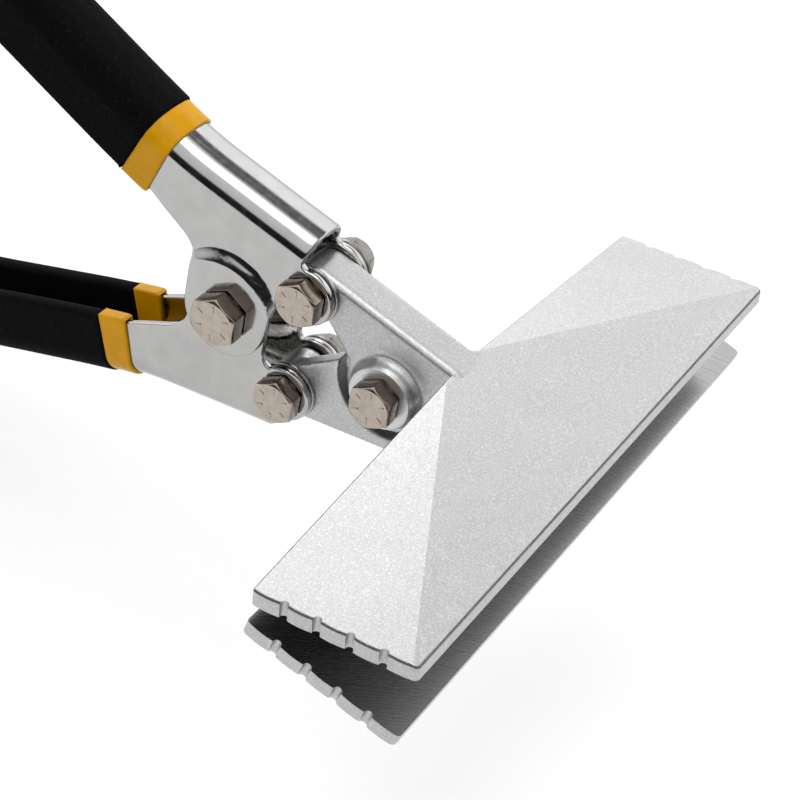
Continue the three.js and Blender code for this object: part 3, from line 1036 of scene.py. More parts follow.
# ------------------------------------------------------------------ handles
class WebLine:
    """The curved line that a handle's web follows, with its outward normal."""

    # X and Z from the web's front end, over the links, to the end of the grip.
    POINTS = ((-31.5, 34.4), (-54, 38.4), (-76, 42.8), (-92, 48.3), (-114, 57), (-140, 67.3),
              (-170, 77.8), (-200, 85.5), (-230, 90.2))
    EXTRA = 30.0                  # straight run added at both ends
    SPACING = 0.1

    def __init__(self) -> None:
        """Tables the line by distance along it."""
        given = [np.array(p, float) for p in self.POINTS]
        padded = [2 * given[0] - given[1], *given, 2 * given[-1] - given[-2]]
        samples = []
        for i in range(len(given) - 1):
            samples += self.stretch(padded[i:i + 4])
        samples.append(given[-1])
        line = np.array(samples)
        along = np.concatenate([[0], np.cumsum(np.hypot(*np.diff(line, axis=0).T))])
        self.length = float(along[-1])
        first = (line[1] - line[0]) / np.hypot(*(line[1] - line[0]))
        last = (line[-1] - line[-2]) / np.hypot(*(line[-1] - line[-2]))
        line = np.vstack([line[0] - first * self.EXTRA, line, line[-1] + last * self.EXTRA])
        along = np.concatenate([[-self.EXTRA], along, [self.length + self.EXTRA]])
        self.even = np.arange(-self.EXTRA, self.length + self.EXTRA, self.SPACING)
        self.line = np.stack([np.interp(self.even, along, line[:, k]) for k in (0, 1)], 1)
        tangent = np.gradient(self.line, axis=0)
        self.tangent = tangent / np.hypot(*tangent.T)[:, None]

    @staticmethod
    def stretch(four: list[np.ndarray], count: int = 60) -> list[np.ndarray]:
        """Samples one stretch of a centripetal Catmull-Rom curve.

        Args:
            four: The stretch's two ends and their neighbours.
            count: Samples in the stretch.

        Returns:
            The samples, without the last.
        """
        a, b, c, d = four
        before, across, after = (math.sqrt(np.hypot(*(q - p))) for p, q in ((a, b), (b, c), (c, d)))
        start = ((b - a) / before - (c - a) / (before + across) + (c - b) / across) * across
        end = ((c - b) / across - (d - b) / (across + after) + (d - c) / after) * across
        points = []
        for i in range(count):
            t = i / count
            points.append((2 * t ** 3 - 3 * t ** 2 + 1) * b + (t ** 3 - 2 * t ** 2 + t) * start
                          + (3 * t ** 2 - 2 * t ** 3) * c + (t ** 3 - t ** 2) * end)
        return points

    def point(self, u: np.ndarray, n: np.ndarray) -> tuple[np.ndarray, np.ndarray]:
        """Gives the side-view places of points on or off the line.

        Args:
            u: Distances along the line.
            n: Heights above it.

        Returns:
            Their X and their Z.
        """
        x, z, tx, tz = (np.interp(u, self.even, column)
                        for column in (*self.line.T, *self.tangent.T))
        return x + n * tz, z - n * tx

    def where(self, x: float, z: float) -> tuple[float, float]:
        """Finds a side-view point on or off the line.

        Args:
            x: Place forward of the jaw pivot.
            z: Place above it.

        Returns:
            The distance along the line and the height above it.
        """
        offset = np.array([x, z]) - self.line
        ahead = np.einsum("ij,ij->i", offset, self.tangent)
        i = int(np.argmin(np.abs(ahead)))
        out = np.array([self.tangent[i, 1], -self.tangent[i, 0]])
        return float(self.even[i] + ahead[i]), float(offset[i] @ out)

    def distance_at(self, x: float) -> float:
        """Gives the distance along the line where it crosses an X."""
        return float(np.interp(-x, -self.line[:, 0], self.even))


@dataclass
class Channel:
    """The bent section that a flat blank is folded to."""

    web: WebLine
    half: float = WALL_HALF
    bend: float = 6.8
    crown: float = 0.28
    joggle_x: float = -53.4       # middle of the stepped-out round
    joggle: float = 15.9          # its radius, inside which the ear is fully out
    joggle_run: float = 3.9       # width of the slope
    joggle_ease: float = 0.15     # share of the slope that is rounded, at each end
    joggle_lean: float = 0.33     # how much less the inner face's round is, per depth
    rise: float = SHEET + GAP

    def wall_start(self) -> float:
        """Returns the distance across the blank where the wall starts."""
        return self.half - self.bend + self.bend * math.pi / 2

    def across(self, n: float) -> float:
        """Gives the distance across the blank of a height above the web.

        Args:
            n: The height, negative down the wall.

        Returns:
            The distance from the middle of the web.
        """
        if n > -self.bend:
            return self.half - self.bend + self.bend * math.acos(max(-1.0, 1 + n / self.bend))
        return self.wall_start() - n - self.bend

    def fold(self, u: np.ndarray, v: np.ndarray, w: np.ndarray, joggled: bool) -> np.ndarray:
        """Bends flat points into the channel.

        Args:
            u: Distances along the web.
            v: Distances across the blank.
            w: Heights above the sheet's outer face.
            joggled: True if the near ear is stepped outwards.

        Returns:
            The bent points.
        """
        flat = self.half - self.bend
        side = np.sign(v)
        far = np.abs(v)
        angle = np.clip((far - flat) / self.bend, 0, math.pi / 2)
        wall = np.maximum(far - self.wall_start(), 0)
        crown = self.crown * (1 - np.minimum(far / flat, 1) ** 2)
        y = side * (np.minimum(far, flat) + (self.bend + w) * np.sin(angle))
        n = -self.bend + (self.bend + w) * np.cos(angle) - wall + crown
        x, z = self.web.point(u, n)
        if joggled:
            ease = self.joggle_ease
            out = np.hypot(x - self.joggle_x, z) + self.joggle_lean * np.maximum(-w, 0)
            slope = np.clip((self.joggle + self.joggle_run - out) / self.joggle_run, 0, 1)
            edge = np.minimum(np.minimum(slope, 1 - slope), ease)
            straight = (slope - ease / 2) / (1 - ease)
            curve = (ease - edge) ** 2 / (2 * ease * (1 - ease))
            step = self.rise * (straight + np.where(slope < 0.5, curve, -curve))
            y = y - np.where((side < 0) & (wall > 0), step, 0)
        return np.stack([x, y, z], 1)


@dataclass
class Blank:
    """A flat blank with rounded edges: loops of points, each with its edge radius."""

    channel: Channel
    over: float
    under: float
    step: float = 1.3             # distance between inner points
    joggled: bool = False
    edge_steps: int = 4
    bend_steps: int = 11
    web_steps: int = 5
    clear: float = 0.4            # least room from a rim to an inner point
    least: float = 0.05           # nearer points of an outline are one
    loops: list[np.ndarray] = field(default_factory=list)

    def add_loop(self, corners: list[tuple[float, float, float]], fine: float = 0.8,
                 hole: bool = False) -> None:
        """Adds an outline or a hole.

        Args:
            corners: Distance along, distance across and edge radius of each point.
            fine: Longest stretch between two points.
            hole: True for a hole.
        """
        area = sum(a[0] * b[1] - b[0] * a[1] for a, b in zip(corners, corners[1:] + corners[:1]))
        corners = self.distinct(corners if (area < 0) == hole else list(reversed(corners)))
        points = []
        for a, b in zip(corners, corners[1:] + corners[:1]):
            a, b = np.array(a, float), np.array(b, float)
            count = max(1, math.ceil(np.hypot(*(b - a)[:2]) / fine))
            points += [a + (b - a) * i / count for i in range(count)]
        self.loops.append(np.array(points))

    def distinct(self, ring: list[tuple[float, float, float]]) -> list[tuple[float, float, float]]:
        """Drops points that lie on the one before.

        Args:
            ring: Distance along, distance across and edge radius of each point.

        Returns:
            The points that are left.
        """
        kept = []
        for point in ring:
            if not kept or math.dist(point[:2], kept[-1][:2]) > self.least:
                kept.append(point)
        if math.dist(kept[0][:2], kept[-1][:2]) < self.least:
            kept.pop()
        return kept

    @staticmethod
    def inward(loop: np.ndarray) -> np.ndarray:
        """Gives each point's direction into the material.

        Args:
            loop: The points of an outline or a hole.

        Returns:
            A unit vector for each.
        """
        ahead = np.roll(loop[:, :2], -1, axis=0) - loop[:, :2]
        behind = loop[:, :2] - np.roll(loop[:, :2], 1, axis=0)
        ahead = ahead / np.hypot(*ahead.T)[:, None]
        behind = behind / np.hypot(*behind.T)[:, None]
        both = ahead + behind
        both = both / np.maximum(np.hypot(*both.T)[:, None], 1e-6)
        return np.stack([-both[:, 1], both[:, 0]], 1)

    @staticmethod
    def inside(points: np.ndarray, rims: list[np.ndarray]) -> np.ndarray:
        """Tells which points lie in the material, by counting crossings.

        Args:
            points: The points.
            rims: The outline and the holes.

        Returns:
            True for each that does.
        """
        odd = np.zeros(len(points), bool)
        for rim in rims:
            nxt = np.roll(rim, -1, axis=0)
            for (ax, ay), (bx, by) in zip(rim, nxt):
                if ay != by:
                    crosses = (ay > points[:, 1]) != (by > points[:, 1])
                    odd ^= crosses & (points[:, 0] < (bx - ax) * (points[:, 1] - ay) / (by - ay) + ax)
        return odd

    def grid(self, rims: list[np.ndarray]) -> np.ndarray:
        """Lists the points between the rims, close together where the sheet bends.

        Args:
            rims: The outline and the holes, in from their rounded edges.

        Returns:
            The points.
        """
        channel = self.channel
        flat = channel.half - channel.bend
        turn = np.linspace(flat, channel.wall_start(), self.bend_steps)
        reach = np.abs(rims[0][:, 1]).max()
        wall = np.arange(channel.wall_start() + self.step, reach, self.step)
        one = np.concatenate([np.linspace(0, flat, self.web_steps)[1:-1], turn, wall])
        across = np.concatenate([-one[::-1], [0.0], one])
        low, high = rims[0][:, 0].min(), rims[0][:, 0].max()
        along = np.linspace(low, high, max(3, int((high - low) / self.step)))
        grid = np.array([(u, v) for u in along for v in across])
        grid = grid[self.inside(grid, rims)]
        edge = np.concatenate(rims)
        clear = np.array([np.hypot(*(edge - p).T).min() for p in grid])
        return grid[clear > self.clear]

    def triangles(self, rims: list[np.ndarray], inner: np.ndarray) -> list[list[int]]:
        """Fills the material with triangles.

        Args:
            rims: The outline and the holes, in from their rounded edges.
            inner: Points between them.

        Returns:
            The triangles, as places in the rims' points followed by the inner ones.
        """
        edges, base = [], 0
        for rim in rims:
            edges += [(base + i, base + (i + 1) % len(rim)) for i in range(len(rim))]
            base += len(rim)
        given = [Vector(p) for p in np.concatenate([*rims, inner])]
        points, _, found, origin, _, _ = delaunay_2d_cdt(given, edges, [], 0, 1e-6, True)
        source = [ids[0] if ids else -1 for ids in origin]
        middles = np.array([sum((Vector(points[i]) for i in t), Vector((0, 0))) / 3 for t in found])
        named = [[source[i] for i in triangle] for triangle in found]
        return [ids for ids, kept in zip(named, self.inside(middles, rims))
                if kept and min(ids) >= 0 and len(set(ids)) == 3]

    def build(self, name: str) -> bpy.types.Object:
        """Makes the bent piece.

        Args:
            name: The piece's name.

        Returns:
            The piece, in millimetres in the upper half's place.
        """
        quarter = [math.pi / 2 * i / self.edge_steps for i in range(self.edge_steps + 1)]
        levels = [(1 - math.sin(a), 1 - math.cos(a), True) for a in quarter]
        levels += [(1 - math.cos(a), 1 - math.sin(a), False) for a in quarter]
        flat, faces, rims, upper, lower = [], [], [], [], []
        start = 0
        for loop in self.loops:
            into = self.inward(loop)
            count = len(loop)
            radius = loop[:, 2]
            for inset, drop, top in levels:
                place = loop[:, :2] + into * (inset * radius)[:, None]
                w = self.over - drop * radius if top else drop * radius - self.under
                flat.append(np.column_stack([place, w]))
            rims.append(loop[:, :2] + into * radius[:, None])
            for a in range(start, start + (len(levels) - 1) * count, count):
                faces += [[a + i, a + count + i, a + count + (i + 1) % count, a + (i + 1) % count]
                          for i in range(count)]
            upper += range(start, start + count)
            start += len(levels) * count
            lower += range(start - count, start)
        inner = self.grid(rims)
        for side, height in ((upper, self.over), (lower, -self.under)):
            flat.append(np.column_stack([inner, np.full(len(inner), height)]))
            side += range(start, start + len(inner))
            start += len(inner)
        for ids in self.triangles(rims, inner):
            faces.append([upper[i] for i in ids])
            faces.append([lower[i] for i in reversed(ids)])
        u, v, w = np.concatenate(flat).T
        piece = new_piece(name, self.channel.fold(u, v, w, self.joggled), faces)
        recalculate(piece)
        return piece


@dataclass(frozen=True)
class Dip:
    """The thickness of a dipped skin and the radii of its edges."""

    over: float                   # thickness outside the steel
    front: float
    rear: float
    corner: float                 # rear corners in side view
    lip: float                    # along the channel's mouth


COLLAR_DIP = Dip(1.0, 0.4, 0.3, 0.3, 0.8)
GRIP_DIP = Dip(1.5, 0.5, 2.3, 8.0, 2.0)


@dataclass
class Handle:
    """One pressed channel handle with its yellow collar and black grip."""

    half: Half
    finishes: Finishes
    web: WebLine
    depth: float = 20.0           # from the web's outer face to the walls' free edges
    lip: float = 0.3              # how much less deep the walls are where the collar starts
    edge: float = 0.75
    ear: float = 13.8             # near ear about the handle pivot
    inner_ear: float = 13.0       # far ear
    link_ear: float = 8.7
    collar_front: float = -79.0
    collar_length: float = 8.5
    steel_end: float = 4.0        # how far short of the grip's end the steel stops
    skin_under: float = 1.2       # thickness of the skins inside the channel
    skin_lip: float = 0.9         # how far they reach past its mouth
    skin_fit: float = 0.06        # room between skin and steel
    bore_edge: float = 0.3

    def __post_init__(self) -> None:
        """Finds where the collar and the grip start."""
        self.channel = Channel(self.web)
        self.collar_start = self.web.distance_at(self.collar_front)
        self.grip_start = self.collar_start + self.collar_length
        self.deep_end = self.collar_start + 6.0

    def wall_path(self, ear: float) -> list[tuple[float, float]]:
        """Lists a wall's free edge from the link ear to the collar, in X and Z.

        Args:
            ear: Radius of the ear about the handle pivot.

        Returns:
            The points.
        """
        # Round the link ear, in to the pivot ear and round it, then up to the collar.
        x, z = LINK
        front, back = HANDLE_PIVOT_X + ear, HANDLE_PIVOT_X - ear
        path = arc(x, z, self.link_ear, math.pi * 0.56, -math.pi * 0.75, 0.8)
        path += quad_curve((x - 6.2, z - 6.1), (front + 0.6, 10.6), (front + 0.3, 8.0))[1:]
        path += arc(HANDLE_PIVOT_X, 0, ear, 0.0, -math.pi, 0.8)
        path += quad_curve((back - 0.3, 9.0), (back - 0.6, 14.2), (-71.2, 17.2), 12)
        return path

    def side_points(self, ear: float) -> list[tuple[float, float, float]]:
        """Lists half of the blank's outline from its front edge to its rear end.

        Args:
            ear: Radius of the ear about the handle pivot.

        Returns:
            Distance along, distance across and edge radius of each point.
        """
        points = [(0.1, 0.0, self.edge), (0.1, self.channel.wall_start(), self.edge)]
        for x, z in self.wall_path(ear):
            u, n = self.web.where(x, z)
            points.append((u, self.channel.across(n), self.edge))
        shallow = self.channel.across(self.lip - self.depth)
        full = self.channel.across(-self.depth)
        points += [(self.collar_start - 0.5, shallow, self.edge), (self.deep_end, full, self.edge),
                   (self.web.length - self.steel_end, full, self.edge)]
        return points

    def bores(self) -> list[tuple[float, float, float]]:
        """Lists the bores in a wall as X, Z and radius."""
        pivot = LARGE.shank + (GAP if self.half is Half.UPPER else PIVOT_GAP)
        return [(*LINK, SMALL.shank + GAP), (HANDLE_PIVOT_X, 0.0, pivot)]

    def pressing(self) -> bpy.types.Object:
        """Returns the pressed steel channel."""
        blank = Blank(self.channel, 0.0, SHEET, joggled=True)
        near = [(u, -v, r) for u, v, r in self.side_points(self.ear)]
        blank.add_loop(near + self.side_points(self.inner_ear)[::-1])
        for x, z, radius in self.bores():
            for side in (-1, 1):
                ring = []
                for px, pz in arc(x, z, radius, 0.0, 2 * math.pi, 0.9)[:-1]:
                    u, n = self.web.where(px, pz)
                    ring.append((u, side * self.channel.across(n), self.bore_edge))
                blank.add_loop(ring, hole=True)
        return blank.build(f"{self.half.value}_handle_pressing")

    def skin(self, name: str, start: float, end: float, dip: Dip) -> bpy.types.Object:
        """Makes a dipped skin over a stretch of the channel, inside and out.

        Args:
            name: The piece's name.
            start: Where it starts along the web.
            end: Where it ends.
            dip: Its thickness and edges.

        Returns:
            The skin with room for the steel in it.
        """
        blank = Blank(self.channel, dip.over, SHEET + self.skin_under, step=1.6)
        reach = self.channel.across(-self.depth - self.skin_lip)
        side = [(start, 0.0, dip.front), (start, reach - 0.6, dip.front),
                (start + 0.8, reach, dip.lip), (end - dip.corner, reach, dip.lip)]
        side += [(u, v, dip.rear) for u, v in
                 arc(end - dip.corner, reach - dip.corner, dip.corner, math.pi / 2, 0.0)[1:]]
        blank.add_loop([(u, -v, r) for u, v, r in side] + side[::-1])
        piece = blank.build(name)
        fit = self.skin_fit
        room = Blank(self.channel, fit, SHEET + fit, step=2.5, edge_steps=1)
        wide = self.channel.across(-self.depth) + fit
        front, rear = start - 3.0, min(end + 3.0, self.web.length - self.steel_end + 0.2)
        room.add_loop([(u, v, 0.05) for u, v in ((front, -wide), (rear, -wide), (rear, wide),
                                                 (front, wide))], 2.0)
        return combine(piece, room.build("steel_room"), Cut.AWAY)

    def build(self) -> None:
        """Makes, dresses and installs the handle, its collar and its grip."""
        name = self.half.value
        place = TO_ROW @ self.half.turn()
        seam = 0.1
        collar = self.skin(f"{name}_collar_band", self.collar_start, self.grip_start - seam,
                           COLLAR_DIP)
        grip = self.skin(f"{name}_grip_sleeve", self.grip_start + seam, self.web.length, GRIP_DIP)
        for piece, finish, slot, node in (
            (self.pressing(), self.finishes.chrome, Slot.CHROME, f"{name}_handle"),
            (collar, self.finishes.yellow, Slot.COLLAR, f"{name}_grip_collar"),
            (grip, self.finishes.foam, Slot.GRIP, f"{name}_grip"),
        ):
            piece.data.materials.clear()
            piece.data.materials.append(finish)
            set_down(piece, place, 50.0)
            install(piece, self.half.body("handle"), slot, node)


# ------------------------------------------------------------------ fasteners
@dataclass
class Fastener:
    """A hexagon bolt through a pivot, with its washer and lock nut on the far side."""

    name: str
    body: str
    size: BoltSize
    x: float
    z: float
    reach: float                  # from the middle to the head's and the washer's faces
    end: float                    # from the middle to the shank's end
    finishes: Finishes
    edge: float = 0.16
    thread_sides: int = 40
    thread_rows: int = 10         # rows of faces to each turn
    tip_chamfer: float = 0.9
    thread_start: float = 1.4     # how far inside the washer's face the thread starts
    thread_overlap: float = 0.4   # how far it starts inside the plain shank
    washer_over: float = 2.2
    washer_thick: float = 1.6
    washer_face: float = 0.47     # share of the flats, as are the next three
    chamfer: float = 0.4775
    dome: float = 0.455
    line_ends: tuple[float, float] = (0.27, 0.42)
    chamfer_angle: float = 30.0
    nut_hexagon: float = 0.72     # share of the nut's height

    def hexagon(self, name: str, low: float, high: float, turn: float,
                both: bool = False) -> bpy.types.Object:
        """Makes a hexagon with chamfered corners, along Z.

        Args:
            name: The piece's name.
            low: Its lower face.
            high: Its upper face.
            turn: Angle of one corner.
            both: True to chamfer both faces.

        Returns:
            The body.
        """
        flat = self.size.flats / 2
        count = 36
        rim = self.size.flats * self.chamfer
        points, rings = [(0, 0, high)], []
        angles = [2 * math.pi * i / count for i in range(count)]
        radii = [flat / math.cos((a % (math.pi / 3)) - math.pi / 6) for a in angles]

        def ring(radius: list[float], height: list[float]) -> None:
            """Adds one ring of points."""
            rings.append(len(points))
            points.extend((r * math.cos(a + turn), r * math.sin(a + turn), h)
                          for r, a, h in zip(radius, angles, height))

        drop = [(r - rim) * math.tan(math.radians(self.chamfer_angle)) for r in radii]
        ring([rim] * count, [high] * count)
        ring(radii, [high - d for d in drop])
        ring(radii, [low + (d if both else 0) for d in drop])
        if both:
            ring([rim] * count, [low] * count)
        points.append((0, 0, low))
        faces = [[0, rings[0] + i, rings[0] + (i + 1) % count] for i in range(count)]
        for a, b in zip(rings, rings[1:]):
            faces += [[a + i, b + i, b + (i + 1) % count, a + (i + 1) % count] for i in range(count)]
        last = len(points) - 1
        faces += [[last, rings[-1] + (i + 1) % count, rings[-1] + i] for i in range(count)]
        piece = new_piece(name, points, faces)
        recalculate(piece)
        bevel(piece, self.edge, 22.0, 2)
        apply_stack(piece)
        return piece

    def thread(self, length: float) -> bpy.types.Object:
        """Returns the threaded end of the shank, a closed helical surface chamfered at the top."""
        count, pitch, deep = self.thread_sides, self.size.pitch, self.size.pitch / 2
        rows = int(length / pitch * self.thread_rows)
        points, faces = [], []
        for j in range(rows + 1):
            z = length * j / rows
            for i in range(count):
                phase = (z / pitch - i / count) % 1.0
                groove = deep * (1 - abs(2 * phase - 1))
                chamfer = max(0.0, z - (length - self.tip_chamfer))
                radius = min(self.size.shank - groove, self.size.shank - chamfer)
                angle = 2 * math.pi * i / count
                points.append((radius * math.cos(angle), radius * math.sin(angle), z))
        for j in range(rows):
            faces += [[j * count + i, j * count + (i + 1) % count, (j + 1) * count + (i + 1) % count,
                       (j + 1) * count + i] for i in range(count)]
        faces.append(list(reversed(range(count))))
        faces.append([rows * count + i for i in range(count)])
        piece = new_piece("thread", points, faces)
        recalculate(piece)
        return piece

    def bolt(self) -> bpy.types.Object:
        """Returns the bolt, its head towards +Z and its underside at 0."""
        size, wide = self.size, self.size.flats * self.washer_face
        bolt = self.hexagon(f"{self.name}_hex_bolt", 0.4, size.head, HEX_CORNER)
        combine(bolt, turned("washer_face", [(0, 0.8), (wide, 0.8), (wide, 0), (0, 0)]), Cut.JOIN)
        for k in range(6):
            combine(bolt, self.grade_line(HEX_CORNER + k * math.pi / 3), Cut.JOIN)
        threaded = self.end - self.reach + self.thread_start
        plain = 2 * self.reach - self.thread_start + self.thread_overlap
        shank = turned("shank", [(0, 0.5), (size.shank, 0.5), (size.shank, -plain), (0, -plain)])
        combine(bolt, shank, Cut.JOIN)
        screw = self.thread(threaded)
        screw.data.transform(Matrix.Translation((0, 0, -self.end - self.reach))
                             @ Matrix.Rotation(math.pi, 4, "X")
                             @ Matrix.Translation((0, 0, -threaded)))
        return combine(bolt, screw, Cut.JOIN)

    def grade_line(self, angle: float) -> bpy.types.Object:
        """Returns one raised line on the head, pointing to a corner."""
        inner, outer = (self.size.flats * share for share in self.line_ends)
        half, top = 0.33, self.size.head
        outline = [(inner, -half), (outer, -half), (outer, half), (inner, half)]
        line = prism("grade_line", outline, top - 0.3, top + 0.22, True)
        bevel(line, 0.12, 30.0, 2)
        apply_stack(line)
        line.data.transform(Matrix.Rotation(angle, 4, "Z"))
        return line

    def paint_shade_on_flats(self, bolt: bpy.types.Object) -> None:
        """Gives the head's six flats a darker colour: painted shade for the dark reflections they show.
        """
        bolt.data.materials.append(self.finishes.flats)
        for face in bolt.data.polygons:
            middle = face.center
            is_outside = math.hypot(middle.x, middle.y) > 0.48 * self.size.flats
            if is_outside and middle.z > 0.4 and abs(face.normal.z) < 0.3:
                face.material_index = 1

    def nut(self) -> bpy.types.Object:
        """Returns the lock nut, its washer face at 0."""
        top, shank, wide = self.size.nut, self.size.shank, self.size.flats * self.dome
        shoulder = top * self.nut_hexagon
        nut = self.hexagon(f"{self.name}_lock_nut", 0.0, shoulder, -HEX_CORNER, True)
        dome = [(0, top), (wide - 1.3, top), (wide - 0.5, top - 0.25), (wide, top - 0.9),
                (wide, shoulder - 0.4), (0, shoulder - 0.4)]
        combine(nut, turned("dome", dome), Cut.JOIN)
        mouth = [(0, top + 1), (shank + 1.0, top + 1), (shank + 1.0, top - 0.5),
                 (shank + 0.1, top - 0.5), (shank + 0.1, -1), (0, -1)]
        return combine(nut, turned("mouth", mouth), Cut.AWAY)

    def nylon(self) -> bpy.types.Object:
        """Returns the nylon ring in the nut's mouth."""
        inner, outer, top = self.size.shank + 0.12, self.size.shank + 0.95, self.size.nut - 0.25
        profile = [(outer, top), (outer, top - 0.24), (inner, top - 0.24), (inner, top)]
        return turned(f"{self.name}_nylon_ring", profile, 48, 0.08)

    def washer(self) -> bpy.types.Object:
        """Returns the flat washer, its lower face at 0."""
        outer, inner = self.size.flats / 2 + self.washer_over, self.size.shank + 0.2
        profile = [(outer, self.washer_thick), (outer, 0), (inner, 0), (inner, self.washer_thick)]
        return turned(f"{self.name}_flat_washer", profile, 72, 0.3)

    def build(self) -> None:
        """Makes, dresses and installs the bolt, washer, nut and nylon ring."""
        near = Side.NEAR.place(self.x, -self.reach, self.z)
        nut_place = Side.FAR.place(self.x, self.reach + self.washer_thick + GAP, self.z)
        washer_place = Side.FAR.place(self.x, self.reach, self.z)
        for piece, place, finish, slot, node in (
            (self.bolt(), near, self.finishes.nickel, Slot.NICKEL, f"{self.name}_bolt"),
            (self.washer(), washer_place, self.finishes.nut, Slot.ZINC, f"{self.name}_washer"),
            (self.nut(), nut_place, self.finishes.nut, Slot.ZINC, f"{self.name}_nut"),
            (self.nylon(), nut_place, self.finishes.nylon, Slot.ZINC, f"{self.name}_nut"),
        ):
            piece.data.materials.clear()
            piece.data.materials.append(finish)
            if slot is Slot.NICKEL:
                self.paint_shade_on_flats(piece)
            set_down(piece, place, 30.0)
            install(piece, self.body, slot, node)


@dataclass
class Sleeve:
    """A turned ring about a pivot: a bush, a spacer or a thin washer."""

    node: str
    body: str
    outer: float
    inner: float
    low: float
    high: float
    x: float
    z: float
    rounding: float = 0.25

    def build(self, finish: bpy.types.Material, slot: Slot) -> None:
        """Makes, dresses and installs the ring.

        Args:
            finish: Its material.
            slot: Its slot.
        """
        height = self.high - self.low
        profile = [(self.outer, height), (self.outer, 0), (self.inner, 0), (self.inner, height)]
        ring = turned(f"{self.node}_ring", profile, 72, self.rounding)
        ring.data.materials.append(finish)
        set_down(ring, Side.FAR.place(self.x, self.low, self.z), 30.0)
        install(ring, self.body, slot, self.node)


@dataclass
class Pivots:
    """Every bolt, nut, washer, bush and spacer on the tool."""

    finishes: Finishes
    ear_out: float = WALL_HALF + SHEET + GAP
    shim_radius: float = 9.1
    shim_thick: float = 1.0

    def pin(self, name: str, body: str, size: BoltSize, x: float, z: float, reach: float,
            end: float, sleeve: str, sleeve_half: float) -> None:
        """Makes a bolt, its nut and washer, and the sleeve round its shank.

        Args:
            name: The bolt's name.
            body: The body that carries them.
            size: The bolt's size.
            x: Place forward of the jaw pivot.
            z: Place above it.
            reach: From the middle to the head's and the washer's faces.
            end: From the middle to the shank's end.
            sleeve: What the sleeve is called.
            sleeve_half: Half its length.
        """
        Fastener(name, body, size, x, z, reach, end, self.finishes).build()
        bore = size.shank + GAP
        Sleeve(f"{name}_{sleeve}", body, bore + BUSH_WALL, bore, -sleeve_half, sleeve_half, x,
               z).build(self.finishes.steel, Slot.STEEL)

    def links(self) -> None:
        """Makes both link pins and the thin washers between arm and walls."""
        bore = SMALL.shank + BUSH_WALL + 2 * GAP
        low, high = ARM_HALF + GAP, ARM_HALF + GAP + self.shim_thick
        for half in Half:
            name, body = f"{half.value}_link", half.body("handle")
            x, z = LINK[0], half.sign() * LINK[1]
            self.pin(name, body, SMALL, x, z, WALL_HALF + GAP, 20.4, "bush", WALL_IN - GAP)
            for side, ends in (("near", (-high, -low)), ("far", (low, high))):
                Sleeve(f"{name}_shim_{side}", body, self.shim_radius, bore, *ends, x,
                       z).build(self.finishes.zinc, Slot.ZINC)

    def main_pivots(self) -> None:
        """Makes the handle pivot and the jaw pivot."""
        self.pin("handle_pivot", Half.UPPER.body("handle"), LARGE, HANDLE_PIVOT_X, 0.0,
                 self.ear_out + GAP, 24.4, "spacer", WALL_IN - GAP)
        self.pin("jaw_pivot", Half.LOWER.body("jaw"), SMALL, 0.0, 0.0, BOSS_FACE + GAP, 21.0,
                 "bush", BOSS_FACE)


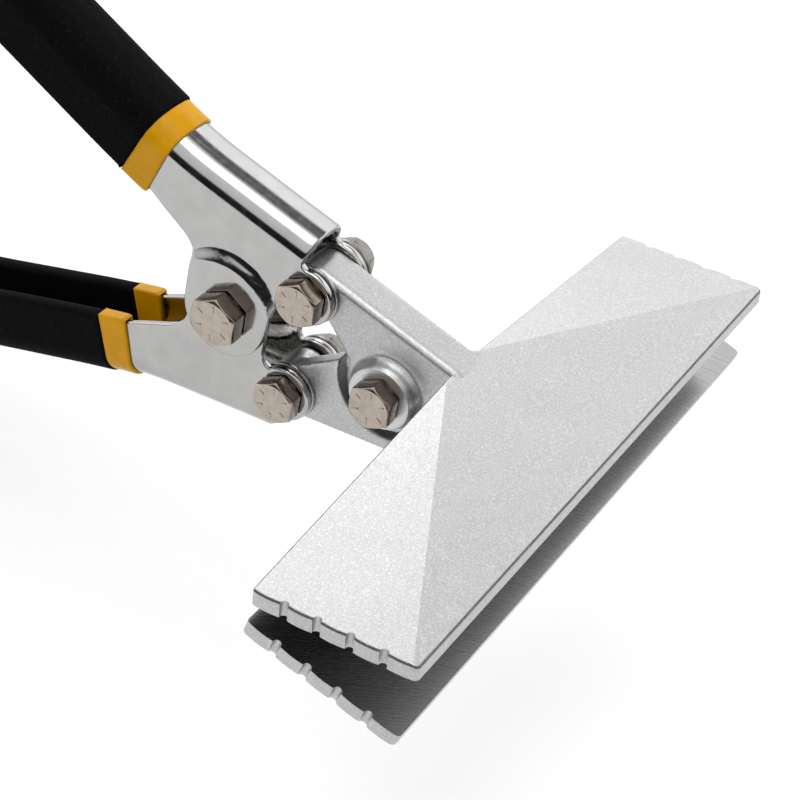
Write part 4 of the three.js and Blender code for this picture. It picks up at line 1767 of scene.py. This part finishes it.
# ------------------------------------------------------------------ studio
@dataclass
class Studio:
    """Pale floor, soft light and the camera, in metres and degrees.

    The skies are pairs of height, from 0 straight down to 1 straight up, and brightness.
    """

    azimuth: float = 21.59
    elevation: float = 40.18
    roll: float = 15.66
    distance: float = 0.62826
    lens: float = 100.5
    aim: tuple[float, float, float] = (0.08661, -0.00234, -0.00385)
    light_aim: tuple[float, float, float] = (0.05, 0.0, 0.0)
    floor_drop: float = 0.03      # lets the lower handle swing down without touching
    floor_size: float = 6.0
    floor_front: float = -1.1
    sky_lean: float = -0.7        # how much X counts against Y in what is behind
    sky_turn: tuple[float, float] = (-0.3, 0.2)
    sky_front: tuple = ((0.0, 0.10), (0.4, 0.015), (0.69, 0.03), (0.74, 1.0), (1.0, 1.2))
    sky_behind: tuple = ((0.0, 0.3), (0.5, 0.9), (0.70, 1.8), (0.85, 1.85), (0.868, 0.2),
                         (0.925, 0.2), (0.945, 1.5))

    def camera(self) -> None:
        """Places the camera."""
        az, el, roll = (math.radians(a) for a in (self.azimuth, self.elevation, self.roll))
        ahead = Vector((-math.sin(az) * math.cos(el), math.cos(az) * math.cos(el), -math.sin(el)))
        level = Vector((math.cos(az), math.sin(az), 0))
        upright = level.cross(ahead)
        right = level * math.cos(roll) + upright * math.sin(roll)
        above = right.cross(ahead)
        turn = Matrix((right, above, -ahead)).transposed().to_4x4()
        data = bpy.data.cameras.new("camera")
        data.lens = self.lens
        data.sensor_width = 36.0
        camera = bpy.data.objects.new("camera", data)
        place = Vector(self.aim) - ahead * self.distance
        camera.matrix_world = Matrix.Translation(place) @ turn
        bpy.context.scene.collection.objects.link(camera)
        bpy.context.scene.camera = camera

    def floor(self) -> None:
        """Lays the floor below the lower handle, even when it swings right down."""
        low = CAD_BOX[0][2] - self.floor_drop
        size, front = self.floor_size, self.floor_front
        floor = new_piece("floor", [(-size, front, low), (size, front, low), (size, size, low),
                                    (-size, size, low)], [(0, 1, 2, 3)])
        recipe = Recipe("pale_floor", grey(0.9), 0.0, 0.9)
        floor.data.materials.append(recipe.finish(recipe.bump(recipe.noise(30.0), 0.2, 0.1)))

    def softbox(self, name: str, place: tuple, size: float, power: float) -> None:
        """Hangs a square soft light that faces the tool.

        Args:
            name: The light's name.
            place: Where it hangs, in metres.
            size: Its side.
            power: Its power in watts.
        """
        data = bpy.data.lights.new(name, "AREA")
        data.shape = "SQUARE"
        data.size = size
        data.energy = power
        light = bpy.data.objects.new(name, data)
        light.location = place
        aim = Vector(self.light_aim) - Vector(place)
        light.rotation_euler = aim.to_track_quat("-Z", "Y").to_euler()
        bpy.context.scene.collection.objects.link(light)

    def sky(self) -> None:
        """Surrounds the tool with a sky, dark low down in front and white to the camera."""
        world = bpy.data.worlds.new("studio")
        bpy.context.scene.world = world
        tree = Tree(world)
        axes = tree.add("ShaderNodeSeparateXYZ")
        tree.join(tree.add("ShaderNodeTexCoord").outputs["Generated"], axes.inputs[0])
        height = tree.span(axes.outputs["Z"], 0.0, 1.0, -1.0, 1.0)
        front, behind = (tree.ramp(height, [(at, grey(light)) for at, light in stops])
                         for stops in (self.sky_front, self.sky_behind))
        back = tree.add("ShaderNodeMath", operation="MULTIPLY_ADD")
        back.inputs[1].default_value = self.sky_lean
        tree.join(axes.outputs["X"], back.inputs[0])
        tree.join(axes.outputs["Y"], back.inputs[2])
        share = tree.span(back.outputs[0], 0.0, 1.0, *self.sky_turn)
        around = tree.blend("MIX", front, behind, share)
        seen = tree.add("ShaderNodeLightPath").outputs["Is Camera Ray"]
        background = tree.tree.nodes["Background"]
        tree.join(tree.blend("MIX", around, None, seen), background.inputs["Color"])
        background.inputs["Strength"].default_value = 1.0

    def build(self) -> None:
        """Sets up the whole studio."""
        self.camera()
        self.floor()
        self.sky()
        self.softbox("overhead", (-0.2, -0.05, 1.5), 1.0, 6.0)
        self.softbox("rear_left", (-1.0, 1.1, 1.0), 0.8, 4.0)
        bpy.context.scene.view_settings.view_transform = "Standard"


def main() -> None:
    """Makes the studio and every sub-assembly."""
    logging.basicConfig(level=logging.INFO, format="%(name)s: %(message)s")
    Studio().build()
    finishes = Finishes()
    web = WebLine()
    for half in Half:
        Jaw(half, finishes).build()
        Handle(half, finishes, web).build()
    pivots = Pivots(finishes)
    pivots.links()
    pivots.main_pivots()


if __name__ == "__main__":
    main()
